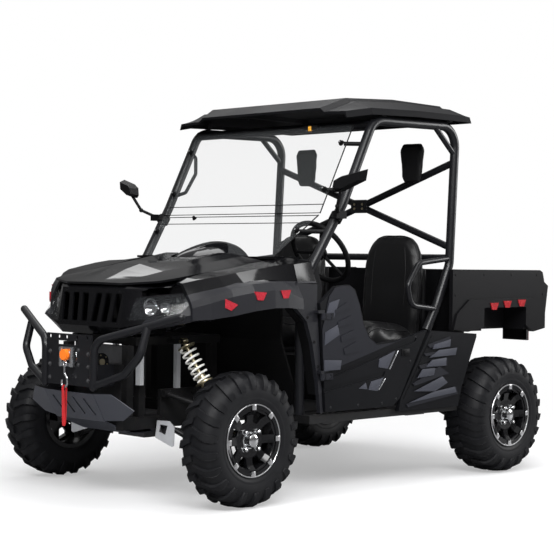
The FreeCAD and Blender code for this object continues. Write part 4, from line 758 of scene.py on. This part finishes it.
def swell(piece, voxel, cap):
    """Remesh evenly, swell under pressure, cap how far a point moves, smooth, and subdivide once."""
    even = piece.modifiers.new("even", "REMESH")
    even.mode, even.voxel_size = "VOXEL", voxel
    keep_result(piece)
    start = [vert.co.copy() for vert in piece.data.vertices]
    cloth = piece.modifiers.new("cloth", "CLOTH").settings
    cloth.use_pressure, cloth.uniform_pressure_force = True, 4.0
    cloth.effector_weights.gravity = 0
    cloth.quality, cloth.tension_stiffness = 4, 20
    for step in range(1, SETTLE_STEPS + 1):
        bpy.context.scene.frame_set(step)
    keep_result(piece)
    for vert, home in zip(piece.data.vertices, start):
        move = vert.co - home
        if move.length > cap:
            vert.co = home + move.normalized() * cap
    bpy.context.scene.frame_set(1)
    calm = piece.modifiers.new("calm", "SMOOTH")
    calm.factor, calm.iterations = 0.5, CALM_STEPS
    keep_result(piece)
    finer = piece.modifiers.new("finer", "SUBSURF")
    finer.levels = finer.render_levels = 1
    keep_result(piece)


def pad(name, sections, stands_for, softness, voxel, cap, fill, segments=3):
    """A swollen, covered pad on the chassis, which takes the place of a CAD node."""
    piece = pad_block(name, sections, softness, segments)
    swell(piece, voxel, cap)
    piece.data.materials.append(finishes["seat_vinyl"])
    piece.data.shade_smooth()
    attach(piece, "chassis")
    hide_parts(stands_for)
    print(name, len(piece.data.polygons), "faces")
    return piece


cushions, back_pads = {}, {}
for side_name, side in SIDES:
    seat_y = side * SEAT_Y
    rings = [rounded_ring((x, seat_y, (low + high) / 2), UPWARDS, half, (high - low) / 2, 0.034)
             for x, half, low, high in CUSHION_SHAPE]
    cushions[side] = pad("cushion_" + side_name, rings, "seat_cushions", 0.014, 0.0065, 0.014, 0.75)
    rings = [rounded_ring(((front + rear) / 2, seat_y, z), FORWARDS, half, (front - rear) / 2, 0.020)
             for z, half, front, rear in BACK_SHAPE]
    back_pads[side] = pad("back_pad_" + side_name, rings, "seat_backs", 0.012, 0.0065, 0.013, 0.7)
    rings = [rounded_ring((HEAD_X, side * HEAD_Y, z), FORWARDS, half, HEAD_HALF, 0.006)
             for z, half in HEAD_SHAPE]
    pad("head_pad_" + side_name, rings, "headrests", 0.005, 0.005, 0.006, 0.7, 2)

# %% [markdown]
# Piping hides the seam where the cover's panels meet, and it catches the light as a thin line round
# the edge. It is a bevelled curve along points that are pulled onto the swollen pad, so it
# always lies on the cover. A firm shell carries each pad from behind, down to the plinth.

# %% Piping and seat shells
def piping(name, points, radius, closed):
    """A thin round bead of sewing on a seat's cover."""
    curve = bpy.data.curves.new(name, "CURVE")
    curve.dimensions, curve.bevel_depth, curve.bevel_resolution, curve.resolution_u = "3D", radius, 3, 6
    spline = curve.splines.new("NURBS")
    spline.points.add(len(points) - 1)
    for point, place in zip(spline.points, points):
        point.co = (*place, 1)
    spline.order_u, spline.use_cyclic_u, spline.use_endpoint_u = 3, closed, not closed
    shown = in_scene(name + "_line", curve)
    mesh = made_real(shown)
    bpy.data.objects.remove(shown)
    mesh.materials.clear()
    mesh.materials.append(finishes["seam_thread"])
    mesh.shade_smooth()
    piece = in_scene(name, mesh)
    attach(piece, "chassis")


def onto(cover, points, lift):
    """The nearest places on a pad's skin, with a small lift along its normal."""
    hits = [cover.closest_point_on_mesh(Vector(point)) for point in points]
    return [place + normal * lift for found, place, normal, index in hits]


def line_between(corners, steps=5):
    """Points spaced along straight runs through the corners of a closed outline."""
    return [Vector(first).lerp(Vector(second), step / steps)
            for first, second in zip(corners, corners[1:] + corners[:1]) for step in range(steps)]


for side_name, side in SIDES:
    seat_y = side * SEAT_Y
    edge = [(x, seat_y + half - 0.012, high - 0.016) for x, half, low, high in CUSHION_SHAPE]
    edge += [(x, seat_y - half + 0.012, high - 0.016) for x, half, low, high in reversed(CUSHION_SHAPE)]
    piping("cushion_piping_" + side_name, onto(cushions[side], line_between(edge), 0.001), 0.0034, True)
    edge = [(front, seat_y + half, z) for z, half, front, rear in BACK_SHAPE]
    edge += [(front, seat_y - half, z) for z, half, front, rear in reversed(BACK_SHAPE)]
    piping("back_piping_" + side_name, onto(back_pads[side], line_between(edge), 0.001), 0.0034, True)
    for number, share in enumerate((-0.55, 0.55)):
        row = [(front + 0.01, seat_y + half * share, z) for z, half, front, rear in BACK_SHAPE[:-1]]
        piping("back_seam_%s_%d" % (side_name, number), onto(back_pads[side], row, -0.0006), 0.0022, False)
    bm = bmesh.new()
    block(bm, (-0.438, seat_y - 0.205, 0.6405), (-0.085, seat_y + 0.205, 0.668), 0.010, 3)
    block(bm, (-0.556, seat_y - 0.198, 0.642), (-0.528, seat_y + 0.198, 1.12), 0.011, 3)
    for bracket_y in (seat_y - 0.10, seat_y + 0.10):
        block(bm, (-0.545, bracket_y - 0.018, 0.640), (-0.425, bracket_y + 0.018, 0.652), 0.003)
    close_piece(bm, "seat_shell_" + side_name, "trim_black")
print("piping and shells ready")

# %% [markdown]
# Behind each clear lamp cover sit three chrome reflectors and a bright divider. A reflector is a
# shallow bowl: an outline spun once about the lamp's axis, with a small bulb in its middle. The bowls
# are turned outwards more and more, as the nose sweeps back.

# %% Lamp reflectors
REFLECTORS = (
    # place of the rim's middle, way it looks, radius, depth
    ((1.219, 0.352, 0.926), (1, 0.28, 0), 0.037, 0.021),
    ((1.185, 0.418, 0.926), (1, 0.42, 0), 0.024, 0.017),
    ((1.116, 0.499, 0.950), (1, 0.75, 0), 0.022, 0.016),
)
BOWL_SHARES, BOWL_WALL = (0.02, 0.25, 0.5, 0.72, 0.88, 1.0), 0.0025
for side_name, side in SIDES:
    bm = bmesh.new()
    for place, way, radius, depth in REFLECTORS:
        bowl = [(radius * share, -depth * (1 - share * share)) for share in BOWL_SHARES]
        bowl += [(radius * 1.10, 0.0012), (radius * 1.12, -0.002), (radius * 1.02, -0.004)]
        bowl += [(radius * share, -depth * (1 - share * share) - BOWL_WALL) for share in (0.86, 0.5, 0.02)]
        spun(bm, bowl, ABOUT_Z, 40, turned_to(way, place), 0.00005)
        bulb = ((0.0001, -depth * 0.25), (radius * 0.12, -depth * 0.3), (radius * 0.17, -depth * 0.55),
                (radius * 0.15, -depth * 0.98))
        spun(bm, bulb, ABOUT_Z, 20, turned_to(way, place), 0.00005)
    block(bm, (1.100, 0.4525, 0.886), (1.150, 0.4585, 0.972), 0.001)
    if side < 0:
        bmesh.ops.scale(bm, vec=(1, -1, 1), verts=bm.verts)
    close_piece(bm, "lamp_bowls_" + side_name, "chrome", smooth_angle=40)
print("lamp bowls ready")

# %% [markdown]
# The hook carries a short red pull strap. Webbing folds flat over the hook's bowl and hangs with its
# two layers together, a little wavy. It is a grid of quads laid along a path, narrowed where the
# hook gathers it, and Solidify gives it the thickness of real webbing.

# %% Red pull strap
HOOK_X = 1.4523
STRAP_WIDTH, STRAP_THICKNESS = 0.025, 0.0016
STRAP_PATH = (
    # x from the hook, z along the band, from the back layer's foot over the hook to the front layer's foot
    (-0.0010, 0.3500), (-0.0035, 0.3900), (-0.0050, 0.4350), (-0.0065, 0.4750), (-0.0085, 0.5050),
    (-0.0098, 0.5250), (-0.0098, 0.5370), (-0.0070, 0.5452), (0.0000, 0.5482), (0.0070, 0.5452),
    (0.0098, 0.5370), (0.0098, 0.5250), (0.0080, 0.5050), (0.0058, 0.4750), (0.0040, 0.4350),
    (0.0030, 0.3900), (0.0030, 0.3500),
)


def ramp(value, length):
    """From 0 to 1 while a value goes from 0 to a length."""
    return min(1, max(0, value / length))


bm = bmesh.new()
rows = len(STRAP_PATH) - 1
for vert in bmesh.ops.create_grid(bm, x_segments=6, y_segments=rows, size=1)["verts"]:
    across, row = vert.co.x, round((vert.co.y + 1) / 2 * rows)
    x, z = STRAP_PATH[row]
    gathered = 0.62 + 0.38 * ramp(0.545 - z, 0.07)
    wave = 0.0016 * math.sin(z * 38 + across * 1.4) * ramp(0.50 - z, 0.05)
    vert.co = Vector((HOOK_X + x + wave, across * STRAP_WIDTH / 2 * gathered + 0.004 * (0.53 - z), z))
length = sum(math.dist(first, second) for first, second in zip(STRAP_PATH, STRAP_PATH[1:]))
strap = close_piece(bm, "pull_strap", "woven_red", smooth_angle=60)
thick = strap.modifiers.new("thick", "SOLIDIFY")
thick.thickness, thick.offset = STRAP_THICKNESS, 0
smooth = strap.modifiers.new("smooth", "SUBSURF")
smooth.levels = smooth.render_levels = 1
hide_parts("winch_strap")
print("strap", round(length, 3), "m")

# %% [markdown]
# Bolts hold the bumper plate, the winch and the skid plate. They are only a few millimetres high,
# but each one catches a highlight, and the eye reads the plate as steel because of them.

# %% Bolts, winch drum and rope
BOLT_PLACES = (
    # place on the plate, radius
    *[((1.4280, y, z), 0.0075) for y in (-0.150, 0.150) for z in (0.575, 0.640, 0.700)],
    *[((1.4280, y, z), 0.0060) for y in (-0.074, 0.074) for z in (0.646, 0.716)],
    *[((1.4446, y, 0.681), 0.0045) for y in (-0.0485, 0.0485)],
)
bm = bmesh.new()
for place, radius in BOLT_PLACES:
    stud(bm, Vector(place) - FORWARDS * 0.0006, FORWARDS, radius * 1.45, 0.0018, 20)
    stud(bm, place, FORWARDS, radius, radius * 0.85)
soften(bm, [edge for edge in bm.edges if edge.is_manifold and edge.calc_face_angle() > 0.9], 0.0006, 1)
close_piece(bm, "plate_bolts", "cast_iron")

DRUM_X, DRUM_Z, DRUM_RADIUS = 1.362, 0.6623, 0.0350
ROPE_TURNS, ROPE_START, ROPE_STEP = 13, -0.066, 0.0105
FLANGE = ((0.0305, 0), (0.0520, 0), (0.0535, 0.001), (0.0535, 0.003), (0.0520, 0.004), (0.0305, 0.004))
BOLT_CIRCLE, WINCH_END = 0.033, 0.1680


def on_drum(y):
    return Matrix.Translation((DRUM_X, y, DRUM_Z))


bm = bmesh.new()
for number in range(ROPE_TURNS):
    turn_place = on_drum(ROPE_START + ROPE_STEP * number)
    spun(bm, oval(DRUM_RADIUS, 0.0045, 0.0052, 12), ABOUT_Y, 36, turn_place, 0.0001)
for flange_y in (-0.0765, 0.0745):
    spun(bm, FLANGE, ABOUT_Y, 48, on_drum(flange_y))
close_piece(bm, "winch_rope_drum", "bright_steel", smooth_angle=40)
bm = bmesh.new()
for way in (-1, 1):
    for number in range(6):
        angle = math.tau * number / 6 + 0.3
        x, z = DRUM_X + BOLT_CIRCLE * math.cos(angle), DRUM_Z + BOLT_CIRCLE * math.sin(angle)
        stud(bm, (x, way * (WINCH_END - 0.0004), z), (0, way, 0), 0.0038, 0.0035)
    stud(bm, (DRUM_X, way * (WINCH_END - 0.0005), DRUM_Z), (0, way, 0), 0.016, 0.006, 24)
close_piece(bm, "winch_end_bolts", "zinc")
print("winch dressed")

# %% [markdown]
# A coil over damper is more than a rod in a spring: it has rubber bushes at its eyes and a threaded
# collar under the spring. The CAD model holds the rod, body and spring seats, and these small parts
# go onto them. Both ends are pinned by a bolt through the bush.

# %% Damper bushes and collars
DAMPERS = (
    # end name, foot, head
    ("front", (0.950, 0.490, 0.4972), (1.009, 0.350, 0.7597)),
    ("rear", (-1.052, 0.420, 0.4060), (-1.052, 0.320, 0.680)),
)
THREAD_RING = ((0.0222, 0), (0.0242, 0.0014), (0.0242, 0.0024), (0.0222, 0.0038))
THREAD_TURNS, THREAD_START, THREAD_STEP = 7, 0.022, 0.0072
for end_name, foot, head in DAMPERS:
    bm = bmesh.new()
    foot, head = Vector(foot), Vector(head)
    way = (head - foot).normalized()
    for point in (foot, head):
        for out in (-1, 1):
            stud(bm, point + FORWARDS * 0.0150 * out, (out, 0, 0), 0.0110, 0.0050, 24, 1)
            stud(bm, point + FORWARDS * 0.0195 * out, (out, 0, 0), 0.0080, 0.0060)
    for number in range(THREAD_TURNS):
        ring_foot = foot + way * (THREAD_START + THREAD_STEP * number)
        spun(bm, THREAD_RING, ABOUT_Z, 36, turned_to(way, ring_foot), 0.00002)
    other = bm.copy()
    bmesh.ops.scale(other, vec=(1, -1, 1), verts=other.verts)
    for side_name, half in (("left", bm), ("right", other)):
        close_piece(half, "damper_trim_%s_%s" % (end_name, side_name), "zinc trim_black",
                    smooth_angle=35)
print("damper trim ready")

# %% [markdown]
# Doors and side panels are single mouldings with raised facets, which break up the large flat sides.
# The facets are a smoother plastic in a lighter grey, a painted sheen for the light that they catch, and
# thin bright steel strips beside two door facets are painted highlights on their edges. Each facet here
# is a thin plate: one face from its corners, extruded outwards by a few millimetres and bevelled, in its
# place on the panel.

# %% Facets on doors and side panels
def facet(bm, corners, low_y, high_y, side, softness, material):
    """A thin bevelled plate on the vehicle's side; corners are (x, z) in millimetres."""
    before = set(bm.faces)
    face = bm.faces.new([bm.verts.new((x / 1000, side * low_y, z / 1000)) for x, z in corners])
    raised = lifted(bm, [face])
    bmesh.ops.translate(bm, vec=(0, side * (high_y - low_y), 0), verts=raised)
    soften(bm, edges_within(raised), softness)
    for made in bm.faces:
        if made not in before:
            made.material_index = material


DOOR_FACETS = (
    # corners in x and z, foot, face, material: plates in the panel, bright lines that are painted highlights
    # on plate edges, plates between the ribs
    (((46, 662), (-76, 700), (-18, 610), (52, 620)), 0.7512, 0.7552, 0),
    (((106, 550), (13, 566), (56, 500), (126, 509)), 0.7512, 0.7550, 0),
    (((197, 519), (146, 546), (134, 512)), 0.7512, 0.7546, 0),
    (((-96, 700), (-101, 696), (-36, 603), (-31, 607)), 0.7512, 0.7552, 1),
    (((1, 562), (-5, 558), (46, 503), (52, 507)), 0.7512, 0.7552, 1),
    (((452, 872), (424, 950), (352, 968), (392, 874)), 0.7555, 0.7590, 0),
    (((455, 742), (452, 806), (362, 842), (350, 792)), 0.7555, 0.7590, 0),
    (((455, 618), (456, 672), (332, 666), (340, 620)), 0.7555, 0.7590, 0),
)
SIDE_FACETS = (
    (((-371, 698), (-381, 722), (-518, 746), (-513, 708)), 0.7586, 0.7632, 0),
    (((-345, 655), (-421, 692), (-573, 700), (-561, 662)), 0.7586, 0.7626, 0),
    (((-318, 607), (-366, 642), (-484, 650), (-480, 608)), 0.7586, 0.7632, 0),
    (((-248, 552), (-290, 597), (-392, 598), (-381, 561)), 0.7586, 0.7626, 0),
    (((-225, 484), (-453, 552), (-496, 517), (-392, 476)), 0.7586, 0.7630, 0),
    (((-184, 426), (-380, 474), (-560, 492), (-572, 462)), 0.7586, 0.7626, 0),
    (((-366, 768), (-372, 774), (-150, 452), (-144, 446)), 0.7512, 0.7548, 1),
)
for side_name, side in SIDES:
    for panel, facets, softness, finish_names, body in (
            # The door strips in bright steel are painted highlights, and the lighter facet plates are painted
            # sheen.
            ("door", DOOR_FACETS, 0.0010, "facet_grey bright_steel", "door_" + side_name),
            ("side", SIDE_FACETS, 0.0008, "facet_grey trim_black", "chassis")):
        bm = bmesh.new()
        for corners, low_y, high_y, material in facets:
            facet(bm, corners, low_y, high_y, side, softness, material)
        close_piece(bm, panel + "_facets_" + side_name, finish_names, body, 25)
print("facets ready")

# %% [markdown]
# A door needs a latch, a pull and the screws that hold its hinges. The latch is a small paddle in a
# recess near the rear edge, and the inside has a net of ribs that stiffen the thin moulding. These
# show when the door swings open.

# %% Latches, screws and inner ribs
DOOR_SCREWS = ((0.40, 0.436), (0.20, 0.436), (0.02, 0.436), (-0.09, 0.452), (-0.20, 0.640), (-0.24, 0.764))
DOOR_RIBS = (
    # x and z of the low corner and of the high corner
    ((0.30, 0.45), (0.31, 0.98)), ((0.16, 0.45), (0.17, 0.80)), ((0.02, 0.44), (0.03, 0.70)),
    ((-0.10, 0.46), (-0.09, 0.70)), ((-0.10, 0.55), (0.42, 0.56)), ((-0.16, 0.66), (0.43, 0.67)),
    ((0.20, 0.82), (0.44, 0.83)),
)
DOOR_INSIDE, RIB_HALF = 0.7225, 0.0058
for side_name, side in SIDES:
    out = (0, side, 0)
    bm = bmesh.new()
    for hinge_z in (0.575, 0.870):
        for x in (0.408, 0.448):
            for z in (0.008, 0.022):
                stud(bm, (x, side * 0.7606, hinge_z + z), out, 0.0042, 0.0030)
        stud(bm, (0.475, side * 0.762, hinge_z - 0.0005), (0, 0, -1), 0.0085, 0.004, 16)
    for x, z in DOOR_SCREWS:
        stud(bm, (x, side * 0.7516, z), out, 0.0070, 0.0026, 24, 0, 0.8)
        stud(bm, (x, side * 0.7538, z), out, 0.0032, 0.0016)
    block(bm, (-0.190, side * 0.7515 - 0.001, 0.668), (-0.126, side * 0.7555 + 0.001, 0.706), 0.0022, 2, 1)
    block(bm, (-0.182, side * 0.7575 - 0.003, 0.676), (-0.140, side * 0.7575 + 0.003, 0.698), 0.0024, 2, 1)
    close_piece(bm, "door_fittings_" + side_name, "cage_paint trim_black", "door_" + side_name)
    bm = bmesh.new()
    inner = side * DOOR_INSIDE
    for low, high in DOOR_RIBS:
        block(bm, (low[0], inner - RIB_HALF, low[1]), (high[0], inner + RIB_HALF, high[1]), 0.0012)
    close_piece(bm, "door_ribs_" + side_name, "matte_black", "door_" + side_name)
print("door fittings ready")

# %% [markdown]
# The windshield's two panes have a thin black bead along their edges: a cylinder for each straight
# run and a ball at each corner. A catch joins the panes, and each clamp that holds them to the posts
# has a washer, a knob with twelve sides and a bright bolt.

# %% Windshield beads, catch and knobs
def bead(name, corners, radius):
    """A thin rubber bead along straight runs."""
    bm = bmesh.new()
    for first, second in zip(corners, corners[1:]):
        rod(bm, first, second, radius, radius, 12)
    for corner in corners:
        made = bmesh.ops.create_icosphere(bm, subdivisions=2, radius=radius)["verts"]
        bmesh.ops.translate(bm, vec=corner, verts=made)
    close_piece(bm, name, "trim_black", smooth_angle=40)


PANE_LINES = (
    # name, half length, x, z
    ("upper_top", 0.604, 0.1005, 1.8505), ("upper_rail", 0.598, 0.3110, 1.4385),
    ("upper_low", 0.598, 0.3335, 1.3945), ("lower_top", 0.594, 0.3420, 1.3815),
    ("lower_rail", 0.590, 0.3790, 1.3440),
)
KNOB_PLACES = ((0.4285, 0.537, 1.3000), (0.2765, 0.577, 1.5120), (0.1545, 0.577, 1.7520))
KNOB_WAY = Vector((0.89, 0, 0.45)).normalized()
for name, half, x, z in PANE_LINES:
    bead("pane_line_" + name, [(x, -half, z), (x, half, z)], 0.0022)
for side_name, side in SIDES:
    bead("pane_side_" + side_name, [(0.0995, side * 0.604, 1.8525), (0.3320, side * 0.598, 1.3945)], 0.0032)
    bead("pane_foot_" + side_name, [(0.3400, side * 0.594, 1.3825), (0.5505, side * 0.499, 1.1745)], 0.0032)
    bm = bmesh.new()
    for x, y, z in KNOB_PLACES:
        place = Vector((x, side * y, z)) + KNOB_WAY * 0.0045
        stud(bm, place, KNOB_WAY, 0.0150, 0.0050, 24)
        stud(bm, place + KNOB_WAY * 0.0048, KNOB_WAY, 0.0115, 0.0120, 12, 0, 0.9)
        stud(bm, place + KNOB_WAY * 0.0165, KNOB_WAY, 0.0050, 0.0032, 6, 1)
    close_piece(bm, "pane_knobs_" + side_name, "trim_black chrome")
bm = bmesh.new()
stud(bm, (0.3530, -0.320, 1.3720), (0.70, 0, 0.72), 0.0125, 0.0060, 24, 0, 0.9)
stud(bm, (0.3572, -0.320, 1.3763), (0.70, 0, 0.72), 0.0095, 0.0110, 12, 0, 0.85)
close_piece(bm, "pane_catch", "trim_black")
print("windshield trim ready")

# %% [markdown]
# Mirrors have a silvered glass set in the shell's rear face. The glass is the shell's outline, inset
# and barely raised, so it follows the shell's own shape.

# %% Mirror glass
MIRROR_EDGE = (
    # along the shell from its foot, height
    (0.000, 0.014), (0.008, 0.055), (0.055, 0.078), (0.198, 0.110), (0.188, 0.054), (0.070, 0.004),
    (0.020, 0.000),
)
MIRROR_FOOT = Vector((0.400, 0.740, 1.492))
MIRROR_WAY = Vector((-0.25, 0.97, 0)).normalized()
MIRROR_FRONT = Vector((0.97, 0.25, 0)).normalized()
MIRROR_MIDDLE = MIRROR_FOOT + MIRROR_WAY * 0.095 + UPWARDS * 0.052
GLASS_SHARE, GLASS_THICKNESS = 0.90, 0.0022
for side_name, side in SIDES:
    bm = bmesh.new()
    corners = [MIRROR_FOOT + MIRROR_WAY * along + UPWARDS * rise - MIRROR_MIDDLE
               for along, rise in MIRROR_EDGE]
    face = bm.faces.new([bm.verts.new(MIRROR_MIDDLE + corner * GLASS_SHARE + MIRROR_FRONT * 0.0005)
                         for corner in corners])
    raised = lifted(bm, [face])
    bmesh.ops.translate(bm, vec=MIRROR_FRONT * -GLASS_THICKNESS, verts=raised)
    soften(bm, edges_within(raised), 0.0012)
    if side < 0:
        bmesh.ops.scale(bm, vec=(1, -1, 1), verts=bm.verts)
    close_piece(bm, "mirror_glass_" + side_name, "chrome", smooth_angle=20)
print("mirror glass ready")

# %% [markdown]
# Roof and cage get their small fittings: screws in the roof, an amber marker lamp under its front
# edge, and a bolted plate where the braces of the cage cross behind the seats.

# %% Roof screws, marker lamp and brace plate
bm = bmesh.new()
for x, z in ((-0.62, 1.9730), (-0.30, 1.9730), (0.02, 1.9620)):
    for side in (-1, 1):
        stud(bm, (x, side * 0.600, z), (0, side * 0.25, 0.97), 0.0110, 0.0035, 24, 0, 0.8)
close_piece(bm, "roof_screws", "trim_black")
bm = bmesh.new()
block(bm, (0.092, 0.286, 1.8330), (0.1085, 0.304, 1.8600), 0.0036, 3)
block(bm, (0.080, 0.245, 1.8375), (0.100, 0.345, 1.8635), 0.0040, 2, 1)
close_piece(bm, "marker_lamp", "amber_lens trim_black")
bm = bmesh.new()
for side in (-1, 1):
    for z in (1.455, 1.480):
        stud(bm, (-0.614, side * 0.030, z), FORWARDS, 0.0075, 0.005, 6, 1)
block(bm, (-0.6195, -0.060, 1.4300), (-0.6135, 0.060, 1.5060), 0.0020)
close_piece(bm, "brace_plate", "cage_paint zinc")
print("roof and cage fittings ready")

# %% [markdown]
# The bed has tie-down hooks inside, screws along its sides and ribs on its floor. A hook is
# half a ring of round bar, spun and turned upright. The tailgate has two latches and a frame of ribs.

# %% Bed hooks, tailgate latches and ribs
BED_SCREWS = ((-0.60, 1.09), (-0.85, 1.09), (-1.10, 1.09), (-1.34, 1.09), (-0.60, 0.98), (-1.40, 0.98))
HOOK_TURN = (Matrix.Rotation(math.pi / 2, 4, "X") @ Matrix.Rotation(math.pi / 2, 4, "Z")
             @ Matrix.Rotation(math.pi, 4, "Y"))
bm = bmesh.new()
for side in (-1, 1):
    for x in (-0.78, -1.28):
        place = Matrix.Translation((x, side * 0.7005, 1.07)) @ HOOK_TURN
        spun(bm, oval(0.016, 0.0038, 0.0038, 10), ABOUT_Y, 16, place, 0.0001, arc=math.pi)
    for x, z in BED_SCREWS:
        stud(bm, (x, side * 0.7248, z), (0, side, 0), 0.0080, 0.0030, 24, 1, 0.8)
close_piece(bm, "bed_hooks", "cage_paint trim_black", "cargo_bed")
bm = bmesh.new()
for y in (-0.600, 0.600):
    block(bm, (-1.4410, y - 0.045, 1.030), (-1.4345, y + 0.045, 1.075), 0.0025, 2, 1)
    block(bm, (-1.4470, y - 0.030, 1.042), (-1.4400, y + 0.030, 1.062), 0.0030, 3)
for y in (-0.45, -0.22, 0.0, 0.22, 0.45):
    block(bm, (-1.4395, y - 0.014, 0.850), (-1.4345, y + 0.014, 1.060), 0.0022, 2, 1)
for z in (0.842, 1.068):
    block(bm, (-1.4395, -0.56, z - 0.010), (-1.4345, 0.56, z + 0.010), 0.0022, 2, 1)
close_piece(bm, "tailgate_fittings", "bright_steel matte_black", "tailgate")
bm = bmesh.new()
for number in range(9):
    y = -0.52 + 0.13 * number
    block(bm, (-1.385, y - 0.016, 0.8050), (-0.705, y + 0.016, 0.8110), 0.0025)
close_piece(bm, "bed_floor_ribs", "matte_black", "cargo_bed")
print("bed fittings ready")

# %% [markdown]
# The driver's side of the dash carries an instrument pod and switches, and the wheel has a padded
# hub. Both show through the windshield and over the door, so they get simple true shapes: a
# spun bezel with a dark face, rocker switches, a glove box lid with its catch, and air vents.

# %% Dashboard and steering wheel hub
POD = ((0.0002, 0.004), (0.040, 0.004), (0.043, 0.009), (0.047, 0.012), (0.052, 0.010), (0.054, 0.002),
       (0.054, -0.012))
HUB = ((0.0002, 0.019), (0.022, 0.018), (0.034, 0.0145), (0.0385, 0.008), (0.0385, -0.004), (0.035, -0.008))
bm = bmesh.new()
spun(bm, POD, ABOUT_Z, 48, turned_to((-0.86, 0, 0.5), (0.338, 0.362, 1.098)))
for number in range(5):
    y = 0.12 - 0.045 * number
    block(bm, (0.322, y - 0.014, 1.030), (0.338, y + 0.014, 1.058), 0.0022)
    block(bm, (0.3185, y - 0.009, 1.036), (0.3265, y + 0.009, 1.053), 0.0020, 2, 1)
for vent_y in (0.535, 0.225, -0.225, -0.535):
    for slat in range(4):
        x, z = 0.3285 + 0.0040 * slat, 1.072 + 0.010 * slat
        block(bm, (x, vent_y - 0.040, z), (x + 0.015, vent_y + 0.040, z + 0.005), 0.0010, 1)
block(bm, (0.3255, -0.47, 0.952), (0.3335, -0.24, 1.010), 0.0025)
block(bm, (0.3225, -0.375, 0.994), (0.3305, -0.335, 1.004), 0.0020, 2, 1)
close_piece(bm, "dash_fittings", "trim_black bright_steel")
bm = bmesh.new()
spun(bm, HUB, ABOUT_Z, 40, turned_to((-0.280, 0, 0.185), (0.080, 0.362, 1.200)))
close_piece(bm, "wheel_hub_pad", "trim_black", "steering_wheel")
print("dashboard ready")

# %% [markdown]
# The last fittings are the domed screws that hold the front body to the frame: three a side on the
# cowl, four a side down the quarter panel, and four in the nose.

# %% Body screws
COWL_X = (0.44, 0.50, 0.56)
QUARTER_SCREWS = ((0.484, 0.640), (0.512, 0.760), (0.560, 0.880), (0.610, 0.985))
bm = bmesh.new()
for side in (-1, 1):
    for x in COWL_X:
        stud(bm, (x, side * 0.500, 1.1712), (0, 0, 1), 0.0085, 0.0035, 24, 0, 0.8)
    for x, z in QUARTER_SCREWS:
        stud(bm, (x, side * 0.7416, z), (0, side, 0), 0.0080, 0.0030, 24, 0, 0.8)
    for x, z in ((1.3120, 0.842), (1.2885, 0.994)):
        stud(bm, (x, side * 0.205, z), (1, 0, 0.16), 0.0055, 0.0025, 20, 0, 0.8)
close_piece(bm, "body_screws", "trim_black")
print("body screws ready")
